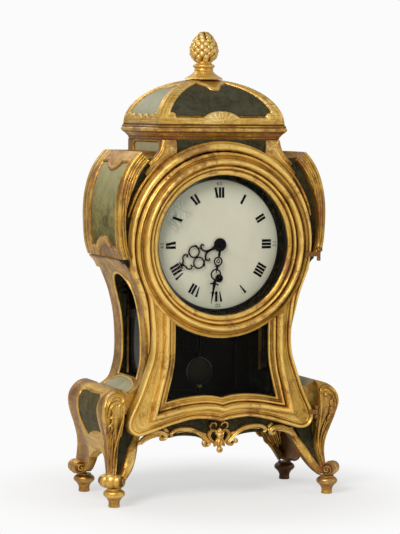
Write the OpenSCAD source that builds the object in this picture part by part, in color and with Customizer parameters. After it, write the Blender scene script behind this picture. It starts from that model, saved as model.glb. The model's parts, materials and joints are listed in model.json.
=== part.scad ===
// Waisted table clock: carved cabriole legs, glazed violin door, bulging shoulders, domed top.
// X runs to the right, the door faces -Y and Z is up. The origin lies on the floor.

/* [Base] */
// Width across the knees of the legs
knee_w = 317; // [300:1:330]
// Width across the ankles of the legs
ankle_w = 289; // [280:1:296]
// Height of the rolled top of the knees
base_h = 141; // [136:1:146]
// Height of the ankles
ankle_z = 60; // [56:1:70]
// Forward reach of the front knees
knee_y = 63; // [60:1:70]
// Forward reach of the front ankles
ankle_y = 45; // [42:1:52]
// Thickness of the leg boards and side aprons
leg_t = 11; // [8:0.5:13]
// Distance between the two front feet
foot_span = 286; // [282:1:290]
// Distance of the rear feet from the back of the case
foot_back = 15; // [14:1:20]
// Height of the turned feet
foot_h = 23; // [18:1:26]
// Radius of the turned feet
foot_r = 13; // [11:0.5:14]
// Radius of the scroll toes
toe_r = 9.2; // [8:0.2:10]
// Thickness of the floor board
floor_t = 10; // [8:1:14]

/* [Case] */
// Width at the waist
waist_w = 196; // [192:1:204]
// Height of the waist
waist_z = 190; // [184:1:198]
// Width at the shoulders
shoulder_w = 277; // [270:1:290]
// Height of the top of the shoulders
shoulder_h = 429; // [424:1:434]
// Depth from the face of the front board to the back
case_d = 116; // [112:1:124]
// Thickness of the case front board
board_t = 10; // [8:0.5:12]
// Thickness of the side boards
side_t = 9; // [7:0.5:11]
// Thickness of the back board
back_t = 10; // [8:0.5:12]
// Forward reach of the shoulders from the front board
shoulder_out = 13; // [10:0.5:15]
// Thickness of the side panes
pane_t = 2; // [1.5:0.25:3]

/* [Dial and door] */
// Height of the dial centre
dial_z = 314.5; // [312:0.5:316]
// Diameter of the enamel dial
dial_d = 165; // [160:1:169]
// Diameter of the round opening in the door
sight_d = 171.4; // [168:0.2:174]
// Diameter of the door's ring
ring_d = 228; // [224:1:231]
// Width of the door at the waist
door_waist_w = 185; // [182:1:187]
// Width of the door at its foot
door_foot_w = 249; // [246:1:250]
// Height of the lowest edge of the door
door_z = 84; // [84:0.5:88]
// Thickness of the door with its mouldings
door_t = 20; // [18:0.5:22]
// Thickness of the door's flat frame behind the mouldings
door_base_t = 10; // [9:0.5:11]
// Half width of the pendulum window at its waist
window_x = 61.5; // [58:0.5:64]
// Height of the lower edge of the pendulum window
window_z = 127; // [125:0.5:130]
// Thickness of the door panes
glass_t = 2.5; // [2:0.25:3]
// Gap round the door
door_gap = 1.2; // [1:0.1:1.6]
// Distance of the door hinge line from the middle
hinge_x = 127; // [126.5:0.1:127.5]

/* [Neck and dome] */
// Width of the neck
neck_w = 156; // [152:1:160]
// Height of the neck above the shoulders
neck_h = 14; // [12:1:18]
// Height of the cornice
cornice_h = 18; // [16:1:20]
// Width of the dome
dome_w = 168; // [164:1:172]
// Forward reach of the dome
dome_y = 48; // [46:1:50]
// Height of the dome
dome_h = 57; // [52:1:62]
// Thickness of the dome's walls
dome_t = 9; // [7:0.5:11]
// Height of the pinecone
cone_h = 42; // [38:1:46]
// Radius of the pinecone
cone_r = 18.5; // [17:0.5:20]

/* [Movement] */
// Distance between the two movement plates
plate_gap = 30; // [28:0.5:32]
// Thickness of the movement plates
plate_t = 2.5; // [2:0.25:3]
// Width of the movement plates
plate_w = 84; // [80:1:90]
// Module of the great wheel
great_m = 0.8; // [0.7:0.1:0.8]
// Teeth of the great wheel
great_n = 96; // [84:12:96]
// Module of the centre wheel and third wheel
train_m = 0.72; // [0.7:0.01:0.74]
// Teeth of the centre wheel
centre_n = 72; // [64:8:72]
// Teeth of the third wheel
third_n = 70; // [63:7:70]
// Teeth of the escape wheel
escape_n = 42; // [36:1:42]
// Radius of the escape wheel
escape_r = 16; // [15:0.5:17]
// Height of the swing point of the pendulum above the dial centre
swing_up = 62; // [60:0.5:64]
// Distance from the swing point to the middle of the bob
pendulum_l = 225.3; // [215:0.1:228]
// Radius of the bob
bob_r = 17; // [14:0.5:19]
// Thickness of the bob
bob_t = 7; // [5:0.5:8]
// Length of the minute hand
minute_l = 74; // [66:1:76]
// Length of the hour hand
hour_l = 62; // [52:1:64]

/* [Hidden] */

$fn = 48;
// Running clearance of an arbor in its hole
run = 0.05;
// How far a cut passes the face that it starts from
over = 1;

gilt = "goldenrod";
green = "darkolivegreen";
brass = "khaki";
steel = "slategray";

function mix(a, b, t) = a + (b - a) * t;
function ease(t) = (1 - cos(180 * t)) / 2;
function flip(pts) = [for (i = [len(pts) - 1:-1:0]) pts[i]];
function mirrored(pts) = [for (p = flip(pts)) [-p[0], p[1]]];
function moved(pts, v) = [for (p = pts) p + v];
function unit(v) = v / max(norm(v), 1e-6);
// Point of a smooth curve through p1 and p2, with p0 and p3 as its neighbours
function through(p0, p1, p2, p3, t) =
    0.5 * (2 * p1 + (p2 - p0) * t + (2 * p0 - 5 * p1 + 4 * p2 - p3) * t * t
    + (3 * p1 - p0 - 3 * p2 + p3) * t * t * t);
// Smooth curve through a few points, with n steps between each two
function smooth(p, n) = concat(
    [for (i = [0:len(p) - 2], k = [0:n - 1])
        through(p[max(i - 1, 0)], p[i], p[i + 1], p[min(i + 2, len(p) - 1)], k / n)],
    [p[len(p) - 1]]);
// A line moved sideways by d, to its right when d is positive
function beside(p, d) = [for (i = [0:len(p) - 1])
    let (t = unit(p[min(i + 1, len(p) - 1)] - p[max(i - 1, 0)])) p[i] + d * [t[1], -t[0]]];
function arc(c, r, a0, a1, n) = [for (i = [0:n])
    let (a = mix(a0, a1, i / n)) c + r * [cos(a), sin(a)]];

// Outline drawn in X and Z, given thickness from y0 back to y1
module along_y(y0, y1) {
    translate([0, y1, 0]) rotate([90, 0, 0]) linear_extrude(y1 - y0) children();
}
// Outline drawn in Y and Z, given thickness from x0 to x1
module along_x(x0, x1) {
    translate([x0, 0, 0]) rotate([90, 0, 90]) linear_extrude(x1 - x0) children();
}
// Rod along Y from y0 to y1
module rod_y(x, z, r, y0, y1) {
    translate([x, y1, z]) rotate([90, 0, 0]) cylinder(h = y1 - y0, r = r);
}
module both_sides() {
    children();
    mirror([1, 0, 0]) children();
}

// Heights and depths that several pieces share
front_y = -44;
back_y = front_y + case_d;
board_y1 = front_y + board_t;
back_y0 = back_y - back_t;
shoulder_y = front_y - shoulder_out;
door_y1 = front_y - 2;
door_y0 = door_y1 - door_t;
door_face_y = door_y1 - door_base_t;
knee_x = knee_w / 2;
ankle_x = ankle_w / 2;
waist_x = waist_w / 2;
shoulder_x = shoulder_w / 2;
floor_z = 100;
floor_x = knee_x - 46.5;
neck_x = neck_w / 2;
neck_z = shoulder_h + neck_h;
dome_z = neck_z + cornice_h;
dome_x = dome_w / 2;
dome_mid_y = (back_y - dome_y) / 2;
dome_half_d = (back_y + dome_y) / 2;

// Knee, ankle and kick of a leg seen from the front: a quarter oval, then two easing curves
roll_w = 24;
roll_h = 23;
front_roll = 16;
kick = 4;
knee_z = base_h - roll_h;
toe_z = foot_h + toe_r;
knee_line = concat(
    [for (i = [0:8]) let (a = 90 - 11.25 * i)
        [knee_x - roll_w * (1 - cos(a)), knee_z + roll_h * sin(a)]],
    [for (i = [1:11]) [mix(knee_x, ankle_x, ease(i / 11)), mix(knee_z, ankle_z, i / 11)]],
    [for (i = [1:4]) [ankle_x + kick * (1 - cos(22.5 * i)), mix(ankle_z, toe_z, i / 4)]]);
knee_inner = concat([[knee_x - roll_w, base_h - 1]],
    [for (p = knee_line) if (p[1] < base_h - 3) p - [leg_t, 0]]);
// The same seen from the side: the front corner leans out further than the side does
corner_line = concat(
    [for (i = [0:8]) let (a = 90 - 11.25 * i)
        [-(knee_y - front_roll * (1 - cos(a))), knee_z + roll_h * sin(a)]],
    [for (i = [1:11]) [-mix(knee_y, ankle_y, ease(i / 11)), mix(knee_z, ankle_z, i / 11)]],
    [for (i = [1:4]) [-(ankle_y + 2 * kick * (1 - cos(22.5 * i))), mix(ankle_z, toe_z, i / 4)]]);
foot_x = foot_span / 2;
post_x = 131;
foot_y = -60;
rear_foot_x = foot_x - 4;
rear_foot_y = back_y - foot_back;

// Carved scroll toe: a short roll with three lobes, centred on the origin and lying along X
module toe_roll() {
    rotate([0, 90, 0]) rotate_extrude() difference() {
        union() {
            circle(r = toe_r);
            for (s = [-1, 1]) translate([0, s * toe_r * 0.88]) circle(r = toe_r * 0.92);
        }
        translate([-3 * toe_r, -3 * toe_r]) square([3 * toe_r, 6 * toe_r]);
    }
}

// Just under the foot of the door
under_door_z = door_z - 0.8;
brace_line = smooth([[foot_x - 8, foot_h], [123, 41], [109, 61], [97, 76], [90, under_door_z]], 3);
brace_inner = smooth([[foot_x - 6, foot_h + 8], [131, 46], [121, 64], [112, 76], [106, under_door_z]], 3);
post_inner = smooth([[foot_x - 6, foot_h + 8], [136.3, 40], [134, 52], [133.2, 68],
    [132.6, under_door_z]], 3);
// The front brace is steeper and leans back, so that its top stands under the floor
front_brace = smooth([[foot_x - 9, foot_h], [127, 29], [117.6, 40], [111.7, 50], [107, 60], [103, 70],
    [97.5, 82], [94, floor_z]], 3);
front_brace_inner = smooth([[foot_x - 6, foot_h + 8], [128.2, 45], [123.5, 55], [118.4, 65],
    [113, 75], [108.5, 86], [106, floor_z]], 3);

// Post of a leg in X and Z
module leg_face() {
    polygon(concat(knee_line, [[foot_x + 8, foot_h]], post_inner,
        [[post_x, under_door_z], [post_x, base_h - 7]]));
}
// Web between the post of a leg and its brace
module leg_web(brace) {
    intersection() {
        polygon(concat(moved(brace, [-3, 0]), flip(moved(post_inner, [1.2, 0]))));
        translate([0, foot_h]) square([2 * foot_x, under_door_z - foot_h]);
    }
}
// Side face of a front leg in Y and Z
front_side_line = smooth([[-52, foot_h], [-43.5, 32], [-37, 43], [-33, 48], [-29, 56], [-29.5, 67],
    [-36.5, 82], [-40, 92], [-41.5, 104], [-42.5, 118], [-43, base_h - 3]], 3);
module front_leg_side() {
    polygon(concat(corner_line, [[foot_y - 8, foot_h]], front_side_line));
}
// Side face of a rear leg in Y and Z
rear_side_line = smooth([[rear_foot_y - 8, foot_h], [34, 30], [25.5, 38], [21.5, 46], [24, 57],
    [34, 70], [35, 86], [34, 104], [33, 124], [34, base_h - 3]], 3);
module rear_leg_side() {
    polygon(concat([[back_y, foot_h]], rear_side_line, [[34, base_h], [back_y, base_h]]));
}
// The bowed side, leg_t thick, seen from the front
module bowed_side() {
    polygon(concat(knee_line, [[foot_x + 8, foot_h], [ankle_x - leg_t, foot_h]], flip(knee_inner)));
}
module leg_front_right() {
    color(gilt) union() {
        intersection() {
            along_y(-knee_y - over, 0) leg_face();
            along_x(60, knee_x + over) polygon(concat(corner_line, [[foot_y - 8, foot_h],
                [-50, foot_h], [-38, 40], [-35.5, 52], [-36, 66], [-38, 76], [front_y, door_z - 1],
                [front_y, base_h - 2], [-knee_y + front_roll, base_h]]));
        }
        intersection() {
            along_y(-knee_y, 0) polygon(concat(front_brace, flip(front_brace_inner)));
            along_x(60, foot_x) polygon(concat(
                smooth([[-62, foot_h], [-57.5, 30], [-54.5, 40], [-50, 51], [-44, 61], [-38.5, 70],
                    [board_y1, 79]], 2),
                [[board_y1, floor_z], [board_y1 + 13, floor_z]],
                smooth([[-21.5, 76], [-26.5, 68], [-34, 58], [-40, 49], [-44, 39], [-49, foot_h]], 2)));
        }
        intersection() {
            along_y(-knee_y, 0) leg_web(front_brace_inner);
            along_x(60, foot_x) polygon(concat(
                smooth([[-52, foot_h], [-48, 36], [-42.5, 49], [-39, 60], [-37, 72], [-36.5, 84]], 2),
                smooth([[-30.5, 84], [-30.5, 72], [-31, 60], [-35, 49], [-40, 36], [-44, foot_h]], 2)));
        }
        translate([floor_x, board_y1 - 2.5, door_z - 1])
            cube([post_x - floor_x + 1.5, 6, floor_z - door_z + 1]);
        intersection() {
            along_x(ankle_x - leg_t - 20, knee_x + over) front_leg_side();
            along_y(-knee_y - over, 0) bowed_side();
        }
        translate([foot_x, foot_y, foot_h]) cylinder(h = 5, r1 = 9.4, r2 = 8);
        translate([foot_x + 4, foot_y - 2.5, toe_z]) rotate([0, 0, 45]) toe_roll();
    }
}
module leg_front_left() {
    mirror([1, 0, 0]) leg_front_right();
}
module leg_rear_right() {
    color(gilt) union() {
        along_y(back_y - leg_t, back_y) leg_face();
        along_y(back_y - leg_t, back_y) polygon(concat(brace_line, flip(brace_inner)));
        along_y(back_y - leg_t, back_y - 4) leg_web(brace_inner);
        intersection() {
            along_x(ankle_x - leg_t - 20, knee_x + over) rear_leg_side();
            along_y(0, back_y) bowed_side();
        }
        translate([rear_foot_x, rear_foot_y, foot_h]) cylinder(h = 5, r1 = 9.4, r2 = 8);
        translate([foot_x + 6, rear_foot_y, toe_z]) rotate([0, 0, 90]) toe_roll();
    }
}
module leg_rear_left() {
    mirror([1, 0, 0]) leg_rear_right();
}

// Turned foot: bead, swelling and tapering stem
module foot() {
    rotate_extrude() polygon(concat([[0, 0], [6.6, 0], [7, 1.2]],
        smooth([[7, 1.2], [6.6, foot_h * 0.25], [9, foot_h * 0.45], [foot_r, foot_h * 0.68],
            [foot_r - 0.6, foot_h * 0.84], [8.5, foot_h * 0.9]], 4),
        [[9.5, foot_h * 0.94], [9.5, foot_h], [0, foot_h]]));
}
module feet() {
    color(gilt) both_sides() {
        translate([foot_x, foot_y, 0]) foot();
        translate([rear_foot_x, rear_foot_y, 0]) foot();
    }
}

// Bowed side apron between the legs, with an arch below and a sunk field for its panel
module apron_outline() {
    difference() {
        translate([-43.4, 40]) square([90, base_h - 40]);
        front_leg_side();
        rear_leg_side();
        polygon(concat(smooth([[30, 34], [24, 45], [17, 52.5], [9, 57.5], [-1, 60.8], [-9, 61.5],
            [-18, 61], [-25.5, 58.5], [-34, 50], [-41, 40], [-46, 32]], 3), [[-10, 0]]));
    }
}
panel_field = concat(
    smooth([[-40, 131], [-38.5, 118], [-37.5, 104], [-35.5, 90]], 2),
    smooth([[-33, 87], [-20, 87.5], [-6, 86], [8, 82], [20, 78]], 2),
    smooth([[27, 84], [31, 97], [30, 112], [28, 132]], 2),
    smooth([[18, 134.5], [-6, 133], [-30, 134.5]], 2));
module side_apron_right() {
    color(gilt) difference() {
        intersection() {
            along_x(ankle_x - leg_t - 20, knee_x + over) apron_outline();
            along_y(-knee_y, back_y) bowed_side();
        }
        intersection() {
            along_x(ankle_x - leg_t, knee_x + over) polygon(panel_field);
            along_y(-knee_y, back_y) polygon(concat(moved(knee_line, [over, 0]),
                flip(moved(knee_line, [-4, 0]))));
        }
    }
}
module side_apron_left() {
    mirror([1, 0, 0]) side_apron_right();
}
module side_panels() {
    color(green) both_sides() intersection() {
        along_x(ankle_x - leg_t, knee_x + over) polygon(panel_field);
        along_y(-knee_y, back_y) polygon(concat(moved(knee_line, [-1, 0]),
            flip(moved(knee_line, [-4, 0]))));
    }
}

module base_floor() {
    color("saddlebrown") translate([-floor_x, board_y1, floor_z])
        cube([2 * floor_x, back_y0 - board_y1, floor_t]);
}
// Ledge on top of the base: a shallow dish between the knee and the foot of the side wall
ledge_w = knee_x - roll_w - floor_x;
ledge_line = smooth([[floor_x, base_h - 3], [floor_x + 6, base_h - 6],
    [floor_x + 0.68 * ledge_w, base_h - 2], [knee_x - roll_w, base_h]], 4);
module base_ledges() {
    color(gilt) both_sides() difference() {
        along_y(front_y, back_y0) polygon(concat([[floor_x, floor_z + floor_t]], ledge_line,
            [for (p = knee_inner) if (p[1] > floor_z + floor_t) p],
            [[knee_x - leg_t - 2, floor_z + floor_t]]));
        intersection() {
            along_x(60, knee_x) front_leg_side();
            along_y(-knee_y, back_y) bowed_side();
        }
        along_y(front_y - over, front_y) leg_face();
        along_y(back_y - leg_t, back_y + over) square([2 * knee_x, base_h + 10]);
    }
}

// Front apron: dark board with a waved lower edge
apron_low = smooth([[0, 70], [14, 72], [30, 78], [52, 80], [70, 78], [88, 83]], 3);
module front_apron() {
    color(green) along_y(front_y, board_y1) polygon(concat(
        [[floor_x, floor_z], [-floor_x, floor_z], [-floor_x, door_z]], mirrored(apron_low),
        apron_low, [[floor_x, door_z]]));
}
// Carved C-scroll of the apron: a thick curved line that ends in two curls
scroll_line = smooth([[-17, 0], [-10, 8], [2, 13], [16, 13], [27, 8]], 5);
module c_scroll() {
    polygon(concat(beside(scroll_line, -2.6), flip(beside(scroll_line, 2.6))));
    translate([-17, 1]) circle(r = 4);
    translate([27, 7]) circle(r = 4);
}
module apron_carving() {
    color(gilt) {
        along_y(front_y - 9, front_y) union() {
            both_sides() translate([33, 75]) c_scroll();
            both_sides() translate([72, 80]) {
                circle(r = 5);
                translate([7, 2]) circle(r = 4.4);
            }
            for (a = [-60, -30, 0, 30, 60])
                translate([0, 76]) rotate(a) translate([0, -9]) scale([0.5, 1]) circle(r = 10);
            for (a = [-50, 0, 50])
                translate([0, 80]) rotate(a) translate([0, 7]) scale([0.6, 1]) circle(r = 8);
            both_sides() translate([17, 70]) circle(r = 4);
        }
    }
}
// Height of the two upper corners of the rear apron, beside the back board
corner_z = floor_z + floor_t + 20;
module rear_apron() {
    color("saddlebrown") along_y(back_y0, back_y) polygon(concat(
        [[90, door_z], [post_x, door_z], [post_x, corner_z], [pane_x - 2, corner_z],
         [pane_x - 2, floor_z + floor_t], [-pane_x + 2, floor_z + floor_t],
         [-pane_x + 2, corner_z], [-post_x, corner_z], [-post_x, door_z], [-90, door_z]],
        smooth([[-60, 93], [0, 84], [60, 93]], 4)));
}

// Side of the case seen from the front: waist, then the foot of the shoulder
waist_line = smooth([[floor_x + 6, base_h - 6], [107, base_h + 2], [waist_x + 4, base_h + 14],
    [waist_x + 0.5, waist_z - 18], [waist_x, waist_z + 6], [waist_x + 2, waist_z + 33],
    [waist_x + 7, waist_z + 57], [waist_x + 13, waist_z + 75], [shoulder_x - 17, 288],
    [shoulder_x - 10, 296]], 4);
shoulder_line = smooth([[shoulder_x - 7, 299], [shoulder_x - 2, 317], [shoulder_x, 347],
    [shoulder_x - 1, 370], [shoulder_x - 5, 390], [shoulder_x - 11, 406],
    [shoulder_x - 19, 419], [shoulder_x - 28, shoulder_h]], 4);
lip_z = 299;

// Door outline, right half, from the notch at the foot up to the ring
ring_r = ring_d / 2;
foot_half = door_foot_w / 2;
door_half = concat(
    smooth([[0, door_z + 13], [13, door_z + 16], [38, door_z + 17.5], [66, door_z + 12],
        [90, door_z + 4.5], [106, door_z], [114, door_z + 0.5], [121, door_z + 5],
        [foot_half, door_z + 14], [foot_half - 2, door_z + 24], [foot_half - 14, door_z + 49],
        [foot_half - 23, waist_z - 33], [door_waist_w / 2 + 2, waist_z - 11],
        [door_waist_w / 2, waist_z + 14], [door_waist_w / 2 + 2, waist_z + 38],
        [ring_r * cos(34) + 3.5, dial_z - ring_r * sin(34)],
        [ring_r * cos(22), dial_z - ring_r * sin(22)]], 4),
    arc([0, dial_z], ring_r, -18, 90, 18));
door_outline = concat(door_half, mirrored(door_half));
// Pendulum window, right half, from the notch at the foot up to the arc under the dial
arc_r = 115.5;
window_top = dial_z - sqrt(arc_r * arc_r - window_x * window_x);
window_half = concat(
    smooth([[0, window_z + 0.5], [11, window_z + 3], [28, window_z + 4], [52, window_z + 2],
        [73, window_z - 2]], 4),
    smooth([[73, window_z - 2], [69, window_z + 14], [65, window_z + 30],
        [window_x + 0.5, window_z + 50], [window_x, window_z + 70], [window_x, window_top]], 4),
    [for (i = [1:6]) let (x = window_x * (1 - i / 6)) [x, dial_z - sqrt(arc_r * arc_r - x * x)]]);
window_outline = concat(window_half, mirrored(window_half));

module opening_behind_door(extra) {
    translate([0, dial_z]) circle(r = sight_d / 2 + extra);
    offset(delta = extra) polygon(window_outline);
}
// Front board of the case
top_x = shoulder_x - 28 - side_t;
front_half = concat([[floor_x, floor_z], [floor_x, base_h - 3]], waist_line,
    [[shoulder_x - 10, lip_z]], beside(shoulder_line, -side_t),
    [[neck_x - 8, shoulder_h - 8], [neck_x - 8, neck_z]]);
module case_front() {
    color(green) along_y(front_y, board_y1) difference() {
        polygon(concat(front_half, mirrored(front_half)));
        both_sides() {
            translate([neck_x - 8, shoulder_h - top_board_t]) square([60, 60]);
            shoulder_skin(-over, side_t);
            shoulder_floor();
        }
        opening_behind_door(6);
    }
}
// Fixed moulding round the door, widest over the dial
hood_r = 122.5;
hood_z = dial_z + 5;
hood_start = waist_z - 8;
hood_outer = concat([for (p = waist_line) if (p[1] < 284) p],
    arc([0, hood_z], hood_r, -12, 90, 20));
// The part of a right-hand line above a height, carried on as its mirror image down the left
function all_round(line, start) = concat([for (p = line) if (p[1] > start) p],
    flip([for (p = line) if (p[1] > start && p[0] > 0.01) [-p[0], p[1]]]));
module hood_band(lift_out, lift_in, start) {
    polygon(concat(beside(all_round(hood_outer, start), -lift_out),
        flip(beside(all_round(door_half, start), door_gap + lift_in))));
}
module hood_moulding() {
    color(gilt) {
        along_y(front_y - 5, front_y) hood_band(0, 0, hood_start);
        along_y(front_y - 9, front_y - 5) hood_band(1.2, 0, hood_start + 28);
        along_y(front_y - 11, front_y - 9) hood_band(2.2, 0.8, hood_start + 60);
    }
}

// Side frame of the waist with its window
win_y0 = -28;
win_y1 = 30;
win_z0 = 152;
win_z1 = 278;
pane_x = waist_x - side_t + 2;
module side_frame_right() {
    color(gilt) difference() {
        along_y(board_y1, back_y) polygon(concat(
            [[floor_x, floor_z + floor_t + 16], [floor_x, base_h - 3]], waist_line,
            [[shoulder_x - 10, lip_z - 1], [pane_x - 2, lip_z - 1], [pane_x - 2, floor_z + floor_t + 16]]));
        along_x(0, shoulder_x) polygon(concat(
            [[win_y0, win_z0], [win_y1, win_z0]],
            arc([(win_y0 + win_y1) / 2, win_z1 - 29], (win_y1 - win_y0) / 2, 0, 180, 12)));
        translate([0, win_y0 - 4, win_z0 - 4]) cube([pane_x + pane_t + 0.2, win_y1 - win_y0 + 8,
            win_z1 - win_z0 + 8]);
        translate([0, back_y0, floor_z]) cube([shoulder_x - 20, back_t + over, 300]);
    }
}
module side_frame_left() {
    mirror([1, 0, 0]) side_frame_right();
}
module side_glasses() {
    color("powderblue", 0.4) both_sides() translate([pane_x, win_y0 - 3.8, win_z0 - 3.8])
        cube([pane_t, win_y1 - win_y0 + 7.6, win_z1 - win_z0 + 7.6]);
}

// Shoulder: bowed side board with a front lip, a top board with a dished front and a floor
top_board_t = 8;
panel_lo = 313;
panel_hi = 404;
panel_y0 = -38;
panel_y1 = 50;
module panel_field_shape(g) {
    difference() {
        translate([panel_y0 + g, panel_lo + g])
            square([panel_y1 - panel_y0 - 2 * g, panel_hi - panel_lo - 2 * g]);
        translate([(panel_y0 + panel_y1) / 2, panel_lo - 22]) circle(r = 34 + g);
        translate([(panel_y0 + panel_y1) / 2, panel_hi + 18]) circle(r = 28 + g);
    }
}
module shoulder_skin(d0, d1) {
    polygon(concat(beside(shoulder_line, -d0), flip(beside(shoulder_line, -d1))));
}
module shoulder_floor() {
    polygon([[shoulder_x - 16, lip_z], [shoulder_x - 8, lip_z], [shoulder_x - 6, lip_z + 5],
        [shoulder_x - 16, lip_z + 5]]);
}
module shoulder_right() {
    color(gilt) difference() {
        union() {
            along_y(shoulder_y, back_y) shoulder_skin(0, side_t);
            along_y(front_y, back_y) polygon([[neck_x, shoulder_h - top_board_t],
                [shoulder_x - 28 - 2, shoulder_h - top_board_t], [shoulder_x - 28 - 2, shoulder_h],
                [neck_x, shoulder_h]]);
            along_y(shoulder_y, back_y0) shoulder_floor();
        }
        translate([0, front_y - 6, shoulder_h + 24]) rotate([0, 90, 0])
            cylinder(h = shoulder_x - 28 - side_t + 2, r = 31);
        intersection() {
            along_x(60, shoulder_x + over) panel_field_shape(0);
            along_y(shoulder_y, back_y) shoulder_skin(-over, 3.5);
        }
    }
}
module shoulder_left() {
    mirror([1, 0, 0]) shoulder_right();
}
module shoulder_panels() {
    color(green) both_sides() intersection() {
        along_x(60, shoulder_x + over) panel_field_shape(0.15);
        along_y(shoulder_y, back_y) shoulder_skin(1.2, 3.5);
    }
}

// Back board with its opening, and the door that closes it
back_open_x = 70;
back_open_z0 = floor_z + floor_t + 12;
back_open_z1 = 400;
module case_back() {
    color("saddlebrown") difference() {
        along_y(back_y0, back_y) difference() {
            polygon(concat([[pane_x - 2, floor_z + floor_t]],
                [[pane_x - 2, lip_z], [shoulder_x - 17, lip_z], [shoulder_x - 17, lip_z + 5]],
                [for (p = beside(shoulder_line, -side_t)) if (p[1] > lip_z + 6) p],
                [[top_x, shoulder_h - top_board_t], [-top_x, shoulder_h - top_board_t]],
                mirrored([for (p = beside(shoulder_line, -side_t)) if (p[1] > lip_z + 6) p]),
                [[-shoulder_x + 17, lip_z + 5], [-shoulder_x + 17, lip_z], [-pane_x + 2, lip_z],
                [-pane_x + 2, floor_z + floor_t]]));
            translate([-back_open_x, back_open_z0])
                square([2 * back_open_x, back_open_z1 - back_open_z0]);
            translate([-shoulder_x, shoulder_h - top_board_t]) square([2 * shoulder_x, 40]);
        }
        translate([-back_open_x - 5, back_y - 6, back_open_z0 - 5])
            cube([2 * back_open_x + 10, 6 + over, back_open_z1 - back_open_z0 + 10]);
        rod_y(button_x, button_z, 2 + run, back_y - 5.3, back_y + over);
    }
}
door_side_gap = 0.5;
rear_door_t = 5.7;
module rear_door() {
    color("saddlebrown") translate([-back_open_x - 5 + door_side_gap, back_y - rear_door_t,
        back_open_z0 - 5 + door_side_gap])
        cube([2 * (back_open_x + 5 - door_side_gap), rear_door_t, back_open_z1 - back_open_z0 + 9]);
}
rear_hinge_x = -back_open_x - 5;
rear_knuckle_r = 1.3;
rear_pin_r = 0.6;
rear_hinge_y = back_y + rear_knuckle_r;
rear_hinge_zs = [back_open_z0 + 40, back_open_z1 - 40];
module rear_door_hinges() {
    color(brass) for (z = rear_hinge_zs) {
        for (s = [-1, 1]) translate([rear_hinge_x, rear_hinge_y, z + s * 7 - 3]) {
            cylinder(h = 6, r = rear_knuckle_r);
            translate([-11, -rear_knuckle_r, 0]) cube([11, 0.8, 6]);
        }
        translate([rear_hinge_x, rear_hinge_y, z - 9]) cylinder(h = 18, r = rear_pin_r);
    }
}
module rear_door_leaves() {
    color(brass) for (z = rear_hinge_zs) difference() {
        union() {
            translate([rear_hinge_x, rear_hinge_y, z - 3.7]) cylinder(h = 7.4, r = rear_knuckle_r);
            translate([rear_hinge_x, back_y, z - 3.7]) cube([12, 0.8, 7.4]);
        }
        translate([rear_hinge_x, rear_hinge_y, z - 5]) cylinder(h = 10, r = rear_pin_r + run);
    }
}
button_x = back_open_x + 12;
button_z = (back_open_z0 + back_open_z1) / 2;
module rear_door_button() {
    color(brass) translate([button_x, 0, button_z]) {
        rod_y(0, 0, 2, back_y - 5, back_y + 0.2);
        along_y(back_y + 0.2, back_y + 2) {
            circle(r = 4);
            translate([-2.5, 0]) square([5, 13]);
            translate([0, 13]) circle(r = 2.5);
        }
    }
}

// Neck between the shoulders and the cornice
module neck() {
    color(gilt) difference() {
        union() {
            both_sides() translate([neck_x - 8, front_y, shoulder_h - top_board_t])
                cube([8, case_d, neck_h + top_board_t]);
            both_sides() along_y(front_y - 4, front_y) polygon(concat([[neck_x - 8, shoulder_h - 10],
                [neck_x - 8, neck_z]],
                smooth([[neck_x, neck_z], [neck_x, shoulder_h + 4], [neck_x + 6, shoulder_h - 8],
                [neck_x + 14, shoulder_h - 16]], 3)));
            translate([-neck_x + 8, back_y0, shoulder_h - top_board_t])
                cube([2 * neck_x - 16, back_t, neck_h + top_board_t]);
        }
        both_sides() along_x(neck_x - 3, neck_x + 1) neck_field(0);
        along_y(front_y - 20, front_y) translate([0, hood_z]) circle(r = hood_r + 0.4);
        along_y(front_y - 3 - over, board_y1) polygon(concat(front_half, mirrored(front_half)));
    }
}
module neck_field(g) {
    translate([-14 + g, shoulder_h - 7 + g]) square([64 - 2 * g, neck_h + 3 - 2 * g]);
    translate([-14, shoulder_h - 2 + neck_h / 2 - 3]) circle(r = 8 - g);
}
module neck_panels() {
    color(green) both_sides() along_x(neck_x - 3, neck_x - 1) neck_field(0.15);
}
// Cornice: hollow, bead and fillet carried round three sides and across the back
module cornice_step(x, y, z0, z1) {
    translate([-x, -y, z0]) cube([2 * x, y + back_y + max(0, x - dome_x - 0.6), z1 - z0]);
}
cornice_x = dome_x + 2.6;
cornice_y = dome_y + 2.6;
module cornice() {
    color(gilt) difference() {
        union() {
            for (i = [0:5]) let (t = (i + 0.5) / 6)
                cornice_step(mix(neck_x + 0.4, cornice_x, t * t), mix(-front_y + 0.5, cornice_y, t * t),
                    neck_z + i * cornice_h * 0.1, neck_z + (i + 1) * cornice_h * 0.1);
            cornice_step(cornice_x, cornice_y, neck_z + cornice_h * 0.6, neck_z + cornice_h * 0.88);
            cornice_step(dome_x + 1, dome_y + 1, neck_z + cornice_h * 0.88, dome_z);
        }
        translate([-neck_x + 8, board_y1, neck_z - over])
            cube([2 * neck_x - 16, back_y0 - board_y1, cornice_h - 6]);
    }
}

// Dome: two oval vaults that cross, so that its four faces meet in ribs
module vault(d) {
    intersection() {
        along_y(-dome_y + d, back_y - d) intersection() {
            polygon([for (i = [0:24]) let (a = 7.5 * i)
                [(dome_x - d) * cos(a), dome_z + (dome_h - d) * sin(a)]]);
            translate([-dome_x, dome_z]) square([2 * dome_x, dome_h]);
        }
        along_x(-dome_x + d, dome_x - d) intersection() {
            polygon([for (i = [0:24]) let (a = 7.5 * i)
                [dome_mid_y + (dome_half_d - d) * cos(a), dome_z + (dome_h - d) * sin(a)]]);
            translate([-dome_y, dome_z]) square([dome_y + back_y, dome_h]);
        }
    }
}
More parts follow.
